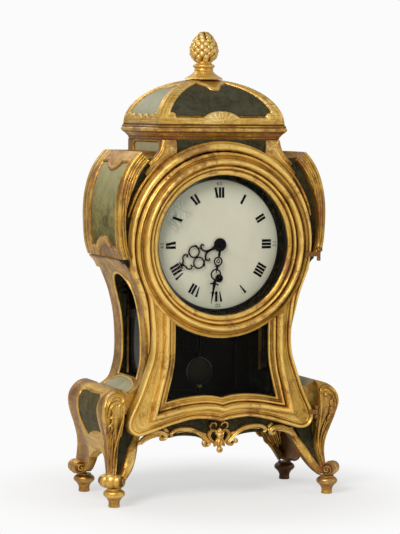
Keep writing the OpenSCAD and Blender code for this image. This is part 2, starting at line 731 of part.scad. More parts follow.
// Field of a dome face: bounded by the ribs above and a lunette below
module dome_field(half, g) {
    intersection() {
        difference() {
            translate([0, dome_z]) polygon([for (i = [0:12]) let (a = 15 * i)
                [(half - 11 - g) * cos(a), (dome_h - 8 - g) * sin(a)]]);
            translate([-half, dome_z - 1]) square([2 * half, 12 + g]);
            translate([0, dome_z - 4]) circle(r = half * 0.28 + g);
            translate([0, dome_z + dome_h - 2]) circle(r = 13 + g);
        }
        translate([-half + 18 + g, dome_z]) square([2 * (half - 18 - g), dome_h]);
    }
}
module dome_fields(g) {
    along_y(-dome_y - 5, dome_mid_y - 22) dome_field(dome_x, g);
    along_y(dome_mid_y + 22, back_y + 5) dome_field(dome_x, g);
    both_sides() along_x(30, dome_x + 5) translate([dome_mid_y, 0]) dome_field(dome_half_d, g);
}
module dome_frame() {
    color(gilt) difference() {
        vault(0);
        intersection() {
            dome_fields(0);
            difference() {
                vault(-1);
                vault(3);
            }
        }
        vault(dome_t);
        translate([-dome_x + 20, -dome_y + 20, dome_z - over])
            cube([2 * dome_x - 40, dome_y + back_y - 40, 2]);
        translate([0, dome_mid_y, dome_z]) cylinder(h = dome_h + over, r = 5);
    }
}
module dome_panels() {
    color(green) intersection() {
        dome_fields(0.15);
        difference() {
            vault(1);
            vault(3);
        }
    }
}

// Finial: turned base and cone with rows of scales
finial_z = dome_z + dome_h;
module finial() {
    color(gilt) translate([0, dome_mid_y, finial_z]) {
        rotate_extrude() polygon(concat([[0, -6], [4.9, -6], [4.9, -0.2], [24, -0.2]],
            smooth([[24, -0.2], [20, 1.6], [14, 4.4]], 3),
            smooth([[14, 4.4], [14.6, 6.5], [13.6, 8.6], [10, 10.6], [10.4, 13], [13.4, 15],
                [13.4, 18], [9, 19.6]], 3), [[0, 19.6]]));
        translate([0, 0, 19]) rotate_extrude() polygon(concat([[0, 0], [9, 0]],
            [for (row = [0:6], k = [0, 1]) let (t = (row + 0.75 * k) / 7.6 + 0.02,
                    r = cone_r * pow(sin(180 * pow(t, 0.72)), 0.6))
                [k == 0 ? r * 0.84 : r, cone_h * t]], [[2, cone_h * 0.97], [0, cone_h]]));
    }
}

// Door frame: flat frame, then bands of moulding that follow its edges
module door_band(out_in, win_in, y0, y1) {
    along_y(y0, y1) difference() {
        offset(delta = -out_in) polygon(door_outline);
        translate([0, dial_z]) circle(r = sight_d / 2 + win_in);
        offset(delta = win_in) polygon(window_outline);
    }
}
module door_frame() {
    color(gilt) difference() {
        union() {
            door_band(0, 0, door_face_y, door_y1);
            door_band(1.5, 1, door_face_y - 4, door_face_y);
            difference() {
                door_band(3, 2.5, door_face_y - 7, door_face_y - 4);
                along_y(door_face_y - 8, door_face_y - 4) difference() {
                    offset(delta = -8) polygon(door_outline);
                    offset(delta = -13) polygon(door_outline);
                }
            }
            difference() {
                door_band(15, 3.5, door_y0, door_face_y - 7);
                along_y(door_y0 - over, door_face_y - 8) translate([0, dial_z]) difference() {
                    circle(r = sight_d / 2 + 12.5);
                    circle(r = sight_d / 2 + 10);
                }
            }
        }
        for (z = hinge_zs) hinge_leaf(z, 0);
        rod_y(0, dial_z, sight_d / 2 + 4.5, door_face_y + glass_t - 1.2, door_y1 + over);
        along_y(door_face_y + glass_t - 1.2, door_y1 + over) intersection() {
            offset(delta = 4.5) polygon(window_outline);
            translate([-200, 0]) square([400, dial_z - sight_d / 2 - 9]);
        }
    }
}
pane_y1 = door_face_y + glass_t - 1.2 + glass_t;
module dial_glass() {
    color("powderblue", 0.4) rod_y(0, dial_z, sight_d / 2 + 4.2, pane_y1 - glass_t, pane_y1);
}
module lower_glass() {
    color("powderblue", 0.4) along_y(pane_y1 - glass_t, pane_y1) intersection() {
        offset(delta = 4.2) polygon(window_outline);
        translate([-200, 0]) square([400, dial_z - sight_d / 2 - 9.3]);
    }
}
// Hinges of the door: fixed knuckles with their pins, and the knuckles that turn with the door
hinge_y = -61;
knuckle_r = 2.3;
pin_r = 1;
knuckle_h = 5;
hinge_zs = [302, 104];
leaf_t = 1.6;
leaf_h = knuckle_h + 0.8;
module door_hinges() {
    color(brass) {
        for (z = hinge_zs) translate([hinge_x, hinge_y, z]) {
            for (s = [-1, 1]) translate([0, 0, s * (leaf_h / 2 + 0.3 + knuckle_h / 2) - knuckle_h / 2])
                cylinder(h = knuckle_h, r = knuckle_r);
            translate([0, 0, -leaf_h]) cylinder(h = 2 * leaf_h, r = pin_r);
        }
        translate([hinge_x - leaf_t / 2, hinge_y, hinge_zs[0] + leaf_h / 2 + 0.3])
            cube([leaf_t, shoulder_y - hinge_y, knuckle_h]);
        translate([hinge_x, shoulder_y - 1, hinge_zs[0] + leaf_h / 2 + 0.3]) cube([6.5, 1, knuckle_h]);
        translate([hinge_x, hinge_y, hinge_zs[1] - leaf_h / 2 - 0.3 - knuckle_h])
            cube([post_x - hinge_x, knuckle_r + leaf_t, knuckle_h]);
    }
}
// Leaf of a door hinge, let into the edge of the door frame
module hinge_leaf(z, g) {
    reach = z > 200 ? 19 : 12;
    translate([hinge_x - reach, hinge_y - leaf_t / 2 - g, z - leaf_h / 2 - g])
        cube([reach, leaf_t + 2 * g, leaf_h + 2 * g]);
}
module door_hinge_leaves() {
    color(brass) for (z = hinge_zs) difference() {
        union() {
            translate([hinge_x, hinge_y, z - leaf_h / 2]) cylinder(h = leaf_h, r = knuckle_r);
            hinge_leaf(z, 0);
        }
        translate([hinge_x, hinge_y, z - leaf_h]) cylinder(h = 2 * leaf_h, r = pin_r + run);
    }
}

// Dial: convex enamel disc
dial_y = -38;
module dial() {
    color("white") difference() {
        translate([0, dial_y, dial_z]) rotate([90, 0, 0]) rotate_extrude() polygon(concat(
            [[0, 0], [dial_d / 2, 0]],
            [for (i = [0:8]) let (t = i / 8) [dial_d / 2 * cos(90 * t), 1 + 3.5 * sin(90 * t)]]));
        rod_y(0, dial_z, 3.4, dial_y - 10, dial_y + over);
        rod_y(0, dial_z - arbor_drop, 4, dial_y - 10, dial_y + over);
    }
}
module dial_ring() {
    color("dimgray") difference() {
        rod_y(0, dial_z, sight_d / 2 + 5.8, dial_y + 0.2, dial_y + 2.2);
        rod_y(0, dial_z, dial_d / 2 - 12, dial_y, dial_y + 3);
    }
}
module winding_grommet() {
    color(brass) difference() {
        union() {
            rod_y(0, dial_z - arbor_drop, 3.9, dial_y - 4.9, dial_y);
            rod_y(0, dial_z - arbor_drop, 5, dial_y - 4.9, dial_y - 4.25);
        }
        rod_y(0, dial_z - arbor_drop, 3.1, dial_y - 6, dial_y + over);
    }
}

// Going train. Each wheel is a disc with crossings and teeth of even width.
plate_y0 = -22;
plate_y1 = plate_y0 + plate_gap;
centre_leaves = 8;
third_leaves = 8;
escape_leaves = 7;
arbor_drop = great_m * (great_n + centre_leaves) / 2;
third_reach = train_m * (centre_n + third_leaves) / 2;
escape_reach = train_m * (third_n + escape_leaves) / 2;
escape_up = 37.5;
third_z = (third_reach * third_reach - escape_reach * escape_reach + escape_up * escape_up) / (2 * escape_up);
third_x = sqrt(third_reach * third_reach - third_z * third_z);

// Teeth of a wheel: n trapezia between the root and the tip, turned by a part of one pitch
function teeth(n, root, tip, wide, narrow, turn) = [for (i = [0:n - 1], k = [0:3])
    let (a = 360 / n * (i + turn + [-wide, -narrow, narrow, wide][k] / 2),
        r = (k == 1 || k == 2) ? tip : root)
    r * [cos(a), sin(a)]];
module wheel(n, m, turn) {
    difference() {
        polygon(teeth(n, m * n / 2 - 1.15 * m, m * n / 2 + 0.85 * m, 0.5, 0.2, turn));
        for (i = [0:3]) rotate(90 * i + 45) difference() {
            intersection() {
                circle(r = m * n / 2 - 4);
                translate([2.4, 2.4]) square(m * n);
            }
            circle(r = 6.5);
        }
    }
}
module leaves(n, m, turn) {
    polygon(teeth(n, m * n / 2 - 1.3 * m, m * n / 2 + 0.6 * m, 0.36, 0.18, turn));
}
module train_part(y0, y1, x, z) {
    translate([x, 0, z]) along_y(y0, y1) children();
}
module arbor(x, z, r) {
    rod_y(x, z, r, plate_y0 + plate_t, plate_y1);
    rod_y(x, z, 0.9, plate_y0, plate_y1 + plate_t);
}
// Angle of the line from the centre arbor to the third arbor, and from there to the escape arbor
third_angle = atan2(third_z, third_x);
escape_angle = atan2(escape_up - third_z, -third_x);

module movement_plates() {
    color(brass) difference() {
        for (y = [plate_y0, plate_y1]) along_y(y, y + plate_t)
            translate([-plate_w / 2, dial_z - 84]) square([plate_w, 158]);
        rod_y(0, dial_z, 1.6 + run, plate_y0 - 5, plate_y0 + 5);
        rod_y(0, dial_z, 0.9 + run, plate_y1 - 5, plate_y1 + 5);
        rod_y(0, dial_z - arbor_drop, 4 + run, plate_y0 - 5, plate_y1 + 5);
        rod_y(third_x, dial_z + third_z, 0.9 + run, plate_y0 - 5, plate_y1 + 5);
        rod_y(0, dial_z + escape_up, 0.9 + run, plate_y0 - 5, plate_y1 + 5);
        rod_y(0, dial_z + swing_up, 0.9 + run, plate_y0 - 5, plate_y0 + 5);
        rod_y(0, dial_z + swing_up, 2, plate_y1 - 5, plate_y1 + 5);
        rod_y(motion_x, dial_z + motion_z, 1 + run, plate_y0 - 5, plate_y0 + 1.2);
    }
}
module plate_pillars() {
    color(brass) both_sides() for (z = [dial_z - 77, dial_z + 67])
        translate([plate_w / 2 - 7, 0, z]) {
            rod_y(0, 0, 3, plate_y0 + plate_t, plate_y1);
            rod_y(0, 0, 4, plate_y1 + plate_t, plate_y1 + plate_t + 2.5);
            rod_y(0, 0, 4, plate_y0 + plate_t, plate_y0 + plate_t + 4);
        }
}
// Board that carries the movement between the front board and the side frames
module seat_board() {
    color("saddlebrown") difference() {
        translate([-pane_x + 2, board_y1, dial_z - 84 - floor_t])
            cube([2 * pane_x - 4, 72, floor_t]);
        translate([-24, plate_y1 + plate_t + 1, dial_z - 84 - floor_t - over])
            cube([48, 40, floor_t + 2 * over]);
    }
}
barrel_y0 = plate_y0 + plate_t + 6;
module barrel() {
    color(brass) difference() {
        union() {
            train_part(barrel_y0 - 2, barrel_y0, 0, dial_z - arbor_drop) rotate(90)
                polygon(teeth(great_n, great_m * great_n / 2 - 1.15 * great_m,
                    great_m * great_n / 2 + 0.85 * great_m, 0.5, 0.2, 0));
            rod_y(0, dial_z - arbor_drop, 30, barrel_y0, barrel_y0 + 15);
        }
        rod_y(0, dial_z - arbor_drop, 28.5, barrel_y0 + 1, barrel_y0 + 13.8);
        rod_y(0, dial_z - arbor_drop, 4 + run, plate_y0, plate_y1);
    }
}
module winding_arbor() {
    color(steel) translate([0, 0, dial_z - arbor_drop]) {
        rod_y(0, 0, 4, plate_y0, plate_y1 + plate_t);
        rod_y(0, 0, 6.5, barrel_y0 + 2.5, barrel_y0 + 12);
        along_y(dial_y - 3, plate_y0) rotate(45) square(4.2, center = true);
        along_y(plate_y0 - 2.5, plate_y0 - 0.3) polygon(teeth(18, 6.5, 8.5, 0.9, 0.1, 0));
    }
}
module centre_wheel() {
    color(brass) {
        train_part(plate_y1 - 3.5, plate_y1 - 2, 0, dial_z)
            wheel(centre_n, train_m, third_angle / 360 * centre_n);
        arbor(0, dial_z, 1.6);
        rod_y(0, dial_z, 1.6, dial_y - 11, plate_y0 + 1);
        train_part(barrel_y0 - 3, barrel_y0 + 1, 0, dial_z) leaves(centre_leaves, great_m, -2 + 0.5);
        rod_y(0, dial_z, 4.5, plate_y1 - 5, plate_y1 - 3.5);
    }
}
module third_wheel() {
    color(brass) {
        train_part(plate_y1 - 12, plate_y1 - 10.5, third_x, dial_z + third_z)
            wheel(third_n, train_m, escape_angle / 360 * third_n);
        train_part(plate_y1 - 4.5, plate_y1 - 1, third_x, dial_z + third_z)
            leaves(third_leaves, train_m, (third_angle + 180) / 360 * third_leaves + 0.5);
        arbor(third_x, dial_z + third_z, 1.2);
    }
}
module escape_wheel() {
    color(brass) {
        train_part(plate_y0 + plate_t + 4, plate_y0 + plate_t + 5.2, 0, dial_z + escape_up) difference() {
            polygon([for (i = [0:escape_n - 1], k = [0:2])
                let (a = 360 / escape_n * (i + [0, 0.12, 0.72][k]), r = [escape_r, escape_r, escape_r - 3][k])
                r * [cos(a), sin(a)]]);
            for (i = [0:3]) rotate(90 * i) difference() {
                intersection() {
                    circle(r = escape_r - 5);
                    translate([1.6, 1.6]) square(escape_r);
                }
                circle(r = 4);
            }
        }
        train_part(plate_y1 - 13, plate_y1 - 9.5, 0, dial_z + escape_up)
            leaves(escape_leaves, train_m, (escape_angle + 180) / 360 * escape_leaves + 0.5);
        arbor(0, dial_z + escape_up, 1.1);
    }
}
// Anchor with its arbor and the crutch that leads the pendulum
pend_y = 17;
swing_z = dial_z + swing_up;
crutch_y = plate_y1 + plate_t + 1.5;
crutch_l = 44;
module anchor() {
    color(steel) {
        arm_r = swing_up - escape_up;
        train_part(plate_y0 + plate_t + 3.8, plate_y0 + plate_t + 5.4, 0, swing_z) difference() {
            polygon(concat(arc([0, 0], arm_r - 4.2, 222, 318, 10), [[4.6, 1.5], [0, 4.6], [-4.6, 1.5]]));
            polygon(concat(arc([0, -2], arm_r - 9, 226, 314, 8), [[0, -3.6]]));
            translate([0, -arm_r]) circle(r = escape_r + 1.7);
        }
        rod_y(0, swing_z, 1.2, plate_y0 + plate_t, plate_y1 + plate_t);
        rod_y(0, swing_z, 0.9, plate_y0, plate_y0 + plate_t);
        rod_y(0, swing_z, 1.2, plate_y1 + plate_t, crutch_y + 1.5);
        along_y(crutch_y, crutch_y + 1.2) hull() {
            translate([0, swing_z]) circle(r = 2.2);
            translate([0, swing_z - crutch_l]) circle(r = 1.4);
        }
        for (s = [-1, 1]) rod_y(s * 2.2, swing_z - crutch_l, 0.8, crutch_y, pend_y + 3);
        along_y(crutch_y, crutch_y + 1.2) translate([-3.4, swing_z - crutch_l - 1.4]) square([6.8, 2.8]);
    }
}
module suspension() {
    color(brass) difference() {
        union() {
            translate([-9, plate_y1 + plate_t, swing_z + 8]) cube([18, 5, 4]);
            translate([-5, plate_y1 + plate_t + 5, swing_z + 8])
                cube([10, pend_y + 4 - plate_y1 - plate_t - 5, 4]);
            translate([-5, plate_y1 + plate_t, swing_z + 4.5]) cube([10, 3, 4]);
        }
        translate([-0.2, pend_y - 3, swing_z + 7]) cube([0.4, 6, 6]);
    }
    color(steel) translate([-0.1, pend_y - 2.5, swing_z - 1.5]) cube([0.2, 5, 13.5]);
}
bob_z = swing_z - pendulum_l;
module pendulum_rod() {
    color(steel) difference() {
        union() {
            translate([-2, pend_y - 3, swing_z - 8]) cube([4, 6, 7.5]);
            translate([0, pend_y, bob_z - bob_r - 9]) cylinder(h = pendulum_l + bob_r + 2, r = 1);
        }
        translate([-0.6, pend_y - 3.5, swing_z - 2.5]) cube([1.2, 7, 4]);
    }
}
module pendulum_bob() {
    color(brass) difference() {
        translate([0, pend_y, bob_z]) rotate([90, 0, 0]) rotate(11) rotate_extrude() polygon(concat(
            [[0, -bob_t / 2]], smooth([[bob_r * 0.55, -bob_t / 2], [bob_r * 0.9, -bob_t * 0.3],
            [bob_r, 0], [bob_r * 0.9, bob_t * 0.3], [bob_r * 0.55, bob_t / 2]], 3), [[0, bob_t / 2]]));
        translate([-1 - run, pend_y - 1 - run, bob_z - 2 * bob_r])
            cube([2 + 2 * run, 2 + 2 * run, 4 * bob_r]);
    }
}
module rating_nut() {
    color(brass) difference() {
        translate([0, pend_y, bob_z - bob_r - 3.4]) cylinder(h = 3, r = 3.2);
        translate([0, pend_y, bob_z - bob_r - 5]) cylinder(h = 6, r = 1 + run);
    }
}

// Motion work behind the dial and the hands in front of it
cannon_n = 12;
minute_n = 36;
minute_leaves = 10;
hour_n = 40;
motion_m = 0.62;
hour_m = motion_m * (cannon_n + minute_n) / (minute_leaves + hour_n);
motion_reach = motion_m * (cannon_n + minute_n) / 2;
motion_angle = atan2(-11, -15);
motion_x = motion_reach * cos(motion_angle);
motion_z = motion_reach * sin(motion_angle);
module cannon_pinion() {
    color(brass) difference() {
        union() {
            train_part(plate_y0 - 4, plate_y0 - 1.2, 0, dial_z)
                leaves(cannon_n, motion_m, motion_angle / 360 * cannon_n + 0.5);
            rod_y(0, dial_z, 2.2, dial_y - 9.8, plate_y0 - 0.4);
        }
        rod_y(0, dial_z, 1.6 + run, dial_y - 20, plate_y0 + 1);
    }
}
module minute_wheel() {
    color(brass) {
        train_part(plate_y0 - 3.4, plate_y0 - 2, motion_x, dial_z + motion_z)
            polygon(teeth(minute_n, motion_m * (minute_n / 2 - 1.1), motion_m * (minute_n / 2 + 0.8),
                0.5, 0.2, (motion_angle + 180) / 360 * minute_n));
        train_part(plate_y0 - 8, plate_y0 - 3.4, motion_x, dial_z + motion_z)
            leaves(minute_leaves, hour_m, (motion_angle + 180) / 360 * minute_leaves + 0.5);
        rod_y(motion_x, dial_z + motion_z, 1, plate_y0 - 9, plate_y0 + 1);
    }
}
module hour_wheel() {
    color(brass) difference() {
        union() {
            train_part(plate_y0 - 7, plate_y0 - 5.6, 0, dial_z)
                polygon(teeth(hour_n, hour_m * (hour_n / 2 - 1.1), hour_m * (hour_n / 2 + 0.8),
                    0.5, 0.2, motion_angle / 360 * hour_n));
            rod_y(0, dial_z, 3.1, dial_y - 7.6, plate_y0 - 5.6);
        }
        rod_y(0, dial_z, 2.2 + run, dial_y - 20, plate_y0);
    }
}
// Pierced hands, drawn pointing up
hour_turn = 244.8;
minute_turn = 189.7;
module ring_shape(r, w) {
    difference() {
        circle(r = r);
        circle(r = r - w);
    }
}
module hour_shape() {
    difference() {
        union() {
            circle(r = 8.2);
            scale(hour_l / 62) {
                polygon([[-2, 6], [2, 6], [1.1, 32], [-1.1, 32]]);
                translate([0, 33]) circle(r = 2.6);
                for (s = [-1, 1]) {
                    translate([s * 4.6, 19]) ring_shape(4.7, 1.6);
                    translate([s * 7.4, 34]) ring_shape(7.4, 1.7);
                    polygon([[s * 8.6, 40.3], [s * 10, 41.6], [s * 0.8, 57], [0, 54]]);
                }
                translate([-4.2, 55]) square([8.4, 1.8]);
                polygon([[-1.6, 53], [1.6, 53], [0, 62]]);
            }
        }
        circle(r = 3.1 + run);
    }
}
module minute_shape() {
    difference() {
        union() {
            circle(r = 5);
            scale(minute_l / 74) {
                polygon([[-1.6, 4], [1.6, 4], [1, 17], [-1, 17]]);
                translate([0, 20.5]) ring_shape(5.4, 1.5);
                translate([0, 20.5]) circle(r = 2.2);
                translate([-0.8, 15]) square([1.6, 16]);
                for (s = [-1, 1])
                    polygon([[s * 3.6, 24.6], [s * 4.8, 25.4], [-s * 3.6, 33], [-s * 4.8, 32.2]]);
                translate([0, 37]) ring_shape(6.6, 1.6);
                translate([-5.8, 48]) square([11.6, 1.8]);
                polygon([[-2.2, 42], [2.2, 42], [0, 74]]);
            }
        }
        circle(r = 2.2 + run);
    }
}
module hour_hand() {
    color("black") translate([0, 0, dial_z]) along_y(dial_y - 7.4, dial_y - 6.2)
        rotate(-hour_turn) hour_shape();
}
module minute_hand() {
    color("black") translate([0, 0, dial_z]) along_y(dial_y - 9.6, dial_y - 8.6)
        rotate(-minute_turn) minute_shape();
}
module hand_nut() {
    color("black") difference() {
        rod_y(0, dial_z, 3.2, dial_y - 12, dial_y - 9.9);
        rod_y(0, dial_z, 1.6 + run, dial_y - 11.2, dial_y - 9);
    }
}

feet();
leg_front_left();
leg_front_right();
leg_rear_left();
leg_rear_right();
side_apron_left();
side_apron_right();
side_panels();
base_floor();
base_ledges();
front_apron();
apron_carving();
rear_apron();
case_front();
hood_moulding();
side_frame_left();
side_frame_right();
side_glasses();
shoulder_left();
shoulder_right();
shoulder_panels();
case_back();
rear_door();
rear_door_hinges();
rear_door_leaves();
rear_door_button();
neck();
neck_panels();
cornice();
dome_frame();
dome_panels();
finial();
door_frame();
dial_glass();
lower_glass();
door_hinges();
door_hinge_leaves();
dial();
dial_ring();
winding_grommet();
hour_hand();
minute_hand();
hand_nut();
movement_plates();
plate_pillars();
seat_board();
barrel();
winding_arbor();
centre_wheel();
third_wheel();
escape_wheel();
anchor();
pendulum_rod();
pendulum_bob();
rating_nut();
suspension();
cannon_pinion();
hour_wheel();
minute_wheel();
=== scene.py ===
import json
import math

import bmesh
import bpy
import numpy as np
from bpy.props import FloatProperty, FloatVectorProperty, IntProperty, PointerProperty
from mathutils import Matrix, Vector

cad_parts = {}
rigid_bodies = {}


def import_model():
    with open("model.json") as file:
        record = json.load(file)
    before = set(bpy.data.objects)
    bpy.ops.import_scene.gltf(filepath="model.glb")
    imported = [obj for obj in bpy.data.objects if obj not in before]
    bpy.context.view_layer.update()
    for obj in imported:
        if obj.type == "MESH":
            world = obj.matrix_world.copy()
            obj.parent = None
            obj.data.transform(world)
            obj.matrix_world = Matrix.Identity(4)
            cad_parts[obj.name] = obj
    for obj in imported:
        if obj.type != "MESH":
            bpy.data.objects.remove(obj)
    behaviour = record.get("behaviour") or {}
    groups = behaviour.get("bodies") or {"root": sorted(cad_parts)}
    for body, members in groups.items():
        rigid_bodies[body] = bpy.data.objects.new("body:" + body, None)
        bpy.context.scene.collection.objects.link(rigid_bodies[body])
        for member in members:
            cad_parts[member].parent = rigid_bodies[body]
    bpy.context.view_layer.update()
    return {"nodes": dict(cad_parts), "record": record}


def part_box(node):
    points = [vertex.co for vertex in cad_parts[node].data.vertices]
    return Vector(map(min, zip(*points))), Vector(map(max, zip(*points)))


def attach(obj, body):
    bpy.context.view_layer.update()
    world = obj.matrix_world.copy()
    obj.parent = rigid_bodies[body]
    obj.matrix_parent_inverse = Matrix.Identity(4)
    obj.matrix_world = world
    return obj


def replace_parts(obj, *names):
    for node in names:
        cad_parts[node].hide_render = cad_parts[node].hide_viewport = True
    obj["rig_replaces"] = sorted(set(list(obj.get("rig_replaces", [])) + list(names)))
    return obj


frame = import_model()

bl_info = {
    "name": "Waisted table clock",
    "version": (1, 0, 0),
    "blender": (4, 5, 0),
    "location": "View3D > Sidebar > Clock",
    "description": "Builds a gilt table clock with carved legs and a domed top around its frame",
    "category": "Add Mesh",
}

MM = 0.001
BODY_OF = {n: b for b, ns in frame["record"]["behaviour"]["bodies"].items() for n in ns}
HANDS = ((1, "right"), (-1, "left"))


def box_mm(node):
    """Lowest and highest corner of a node of the frame, in millimetres."""
    return (np.array(corner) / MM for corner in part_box(node))


# Places that the frame gives, in millimetres
DIAL_LO, DIAL_HI = box_mm("dial")
DIAL_Z = (DIAL_LO[2] + DIAL_HI[2]) / 2
DIAL_R = (DIAL_HI[0] - DIAL_LO[0]) / 2
DIAL_BACK = DIAL_HI[1]
DOOR_LO, DOOR_HI = box_mm("door_frame")
DOOR_BACK = DOOR_HI[1]
DOOR_Z = DOOR_LO[2]
GLASS_LO, GLASS_HI = box_mm("dial_glass")
SIGHT_R = (GLASS_HI[0] - GLASS_LO[0]) / 2 - 4.2
RING_R = DOOR_HI[2] - DIAL_Z


class ClockColours(bpy.types.PropertyGroup):
    gold: FloatVectorProperty(
        name="Gold", description="Gold leaf where it is best kept", subtype="COLOR", size=3,
        default=(0.66, 0.385, 0.062),
    )
    # Pale gold also stands for the painted highlight on ridges
    pale_gold: FloatVectorProperty(
        name="Pale gold", description="Burnished ridges", subtype="COLOR", size=3, default=(0.92, 0.70, 0.29)
    )
    # Ochre stands for painted shade in the hollows as well as toned leaf
    ochre: FloatVectorProperty(
        name="Ochre", description="Toned leaf in hollows", subtype="COLOR", size=3, default=(0.22, 0.105, 0.018)
    )
    bole: FloatVectorProperty(
        name="Bole", description="Reddish ground that shows where leaf has worn away", subtype="COLOR", size=3,
        default=(0.27, 0.10, 0.035),
    )
    green: FloatVectorProperty(
        name="Green", description="Dark marbled paint", subtype="COLOR", size=3, default=(0.070, 0.064, 0.024)
    )
    sage: FloatVectorProperty(
        name="Sage", description="Pale veins and lit parts of the paint", subtype="COLOR", size=3,
        default=(0.33, 0.31, 0.16),
    )
    enamel: FloatVectorProperty(
        name="Enamel", description="Ground of the dial", subtype="COLOR", size=3, default=(0.70, 0.66, 0.54)
    )
    ink: FloatVectorProperty(
        name="Ink", description="Numerals and blued hands", subtype="COLOR", size=3, default=(0.012, 0.011, 0.012)
    )
    brass: FloatVectorProperty(
        name="Brass", description="Plates and wheels", subtype="COLOR", size=3, default=(0.52, 0.36, 0.13)
    )
    wood: FloatVectorProperty(
        name="Board", description="Stained boards inside and behind", subtype="COLOR", size=3,
        default=(0.085, 0.05, 0.028),
    )


class ClockSizes(bpy.types.PropertyGroup):
    numeral_h: FloatProperty(
        name="Numeral height", description="Height of the hour numerals", subtype="DISTANCE", default=0.0126,
        min=0.008, max=0.014,
    )
    numeral_in: FloatProperty(
        name="Numeral ring", description="Radius of the inner edge of the hour numerals", subtype="DISTANCE",
        default=0.0578, min=0.050, max=0.062,
    )
    scale_rows: IntProperty(
        name="Scale rows", description="Rows of scales on the pinecone", default=8, min=5, max=12
    )


# Surfaces


def ease(t):
    return (1 - np.cos(np.pi * np.asarray(t, float))) / 2


def mix(a, b, t):
    return a + (b - a) * t


def xyz(x, y, z):
    """Points from three coordinates whose shapes fit together."""
    return np.stack(np.broadcast_arrays(x, y, z), -1)


def smooth(points, n):
    """Smooth curve through a few points, n steps between each two: the cubic whose slope at each
    point is half the line between its two neighbours."""
    p = np.asarray(points, float)
    q = np.vstack([p[:1], p, p[-1:]])
    t = (np.arange(n) / n)[None, :, None]
    a, b, c, d = (q[k : k + len(p) - 1][:, None, :] for k in range(4))
    body = 0.5 * (2 * b + (c - a) * t + (2 * a - 5 * b + 4 * c - d) * t**2 + (3 * b - a - 3 * c + d) * t**3)
    return np.vstack([body.reshape(-1, p.shape[1]), p[-1:]])


def resample(line, n):
    """n points at equal steps of length along a line."""
    line = np.asarray(line, float)
    s = np.r_[0, np.cumsum(np.linalg.norm(np.diff(line, axis=0), axis=1))]
    at = np.linspace(0, s[-1], n)
    return np.stack([np.interp(at, s, line[:, k]) for k in range(line.shape[1])], 1)


def arc(centre, r, a0, a1, n):
    a = np.radians(np.linspace(a0, a1, n + 1))
    return np.stack([centre[0] + r * np.cos(a), centre[1] + r * np.sin(a)], 1)


def mirrored(line):
    return np.asarray(line)[::-1] * [-1, 1]


def distance(points, line):
    """Shortest distance of points (..., 2) from a chain of straight pieces."""
    shape = points.shape[:-1]
    p = points.reshape(-1, 1, 2)
    a, b = line[:-1][None], line[1:][None]
    d = b - a
    t = np.clip(((p - a) * d).sum(-1) / np.maximum((d * d).sum(-1), 1e-12), 0, 1)
    return np.linalg.norm(p - a - t[..., None] * d, axis=-1).min(1).reshape(shape)


class Shell:
    """Collects grids of points into one mesh, in millimetres, with a tone from -1 in hollows to 1 on ridges, which
    the finishes paint as shade and highlight, and a flow, the millimetres run along and across each grid."""

    def __init__(self):
        self.points, self.faces, self.tones, self.flows, self.count = [], [], [], [], 0

    def grid(self, p, around=False, along=False, tone=0.0, caps=False, turned=False):
        """Faces between neighbours of a grid (along, around, 3). caps closes the two ends of a tube. turned lets
        the streaks of the gilding run the other way."""
        nu, nv = p.shape[:2]
        i = np.arange(nu if along else nu - 1)[:, None]
        j = np.arange(nv if around else nv - 1)[None, :]
        i2, j2 = (i + 1) % nu, (j + 1) % nv
        corners = np.broadcast_arrays(i * nv + j, i2 * nv + j, i2 * nv + j2, i * nv + j2)
        self.faces += (np.stack(corners, -1).reshape(-1, 4) + self.count).tolist()
        if caps:
            first = np.arange(nv) + self.count
            self.faces += [first.tolist(), (first + (nu - 1) * nv).tolist()[::-1]]
        self.points.append(p.reshape(-1, 3))
        self.tones.append(np.broadcast_to(np.asarray(tone, float), (nu, nv)).reshape(-1))
        run = np.r_[0, np.cumsum(np.linalg.norm(np.diff(p, axis=0), axis=-1).mean(1))][:, None]
        cross = np.r_[0, np.cumsum(np.linalg.norm(np.diff(p, axis=1), axis=-1).mean(0))][None, :]
        self.flows.append((xyz(cross, run, 0.0) if turned else xyz(run, cross, 0.0)).reshape(-1, 3))
        self.count += nu * nv

    def build(self, name, finish, replaces=None, body="case", slot="gilding", angle=50.0, merge=0.0):
        mesh = bpy.data.meshes.new(name)
        mesh.from_pydata(np.concatenate(self.points) * MM, [], self.faces)
        tone = mesh.attributes.new("tone", "FLOAT", "POINT")
        tone.data.foreach_set("value", np.concatenate(self.tones).astype(np.float32))
        flow = mesh.attributes.new("flow", "FLOAT_VECTOR", "POINT")
        flow.data.foreach_set("vector", np.concatenate(self.flows).astype(np.float32).ravel())
        finish_piece(name, mesh, body, [Finishes.get(finish)], replaces, angle, merge)


def finish_piece(name, mesh, body, materials, replaces, angle, merge):
    """Turns the faces outwards, shades them smooth up to an angle and lets the piece ride on its body."""
    bm = bmesh.new()
    bm.from_mesh(mesh)
    if merge:
        bmesh.ops.remove_doubles(bm, verts=bm.verts, dist=merge * MM)
    bmesh.ops.recalc_face_normals(bm, faces=bm.faces)
    bm.to_mesh(mesh)
    bm.free()
    mesh.shade_smooth()
    mesh.set_sharp_from_angle(angle=math.radians(angle))
    mesh.materials.clear()
    for material in materials:
        mesh.materials.append(material)
    piece = bpy.data.objects.new(name, mesh)
    bpy.context.scene.collection.objects.link(piece)
    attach(piece, body)
    if replaces:
        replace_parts(piece, replaces)


def smoothed_copy(node, finish, other=None, where=None):
    """The frame's own solid, its loose triangles joined so that curved faces shade as curves. Faces whose
    centre and normal meet the test take the other finish."""
    mesh = frame["nodes"][node].data.copy()
    materials = [Finishes.get(name) for name in (finish, other) if name]
    finish_piece(node + "_finished", mesh, BODY_OF[node], materials, node, angle=32.0, merge=0.01)
    if other:
        count = len(mesh.polygons)
        centre, normal = np.empty(count * 3), np.empty(count * 3)
        mesh.polygons.foreach_get("center", centre)
        mesh.polygons.foreach_get("normal", normal)
        pick = where(centre.reshape(-1, 3) / MM, normal.reshape(-1, 3))
        mesh.polygons.foreach_set("material_index", pick.astype(np.int32))
        mesh.update()


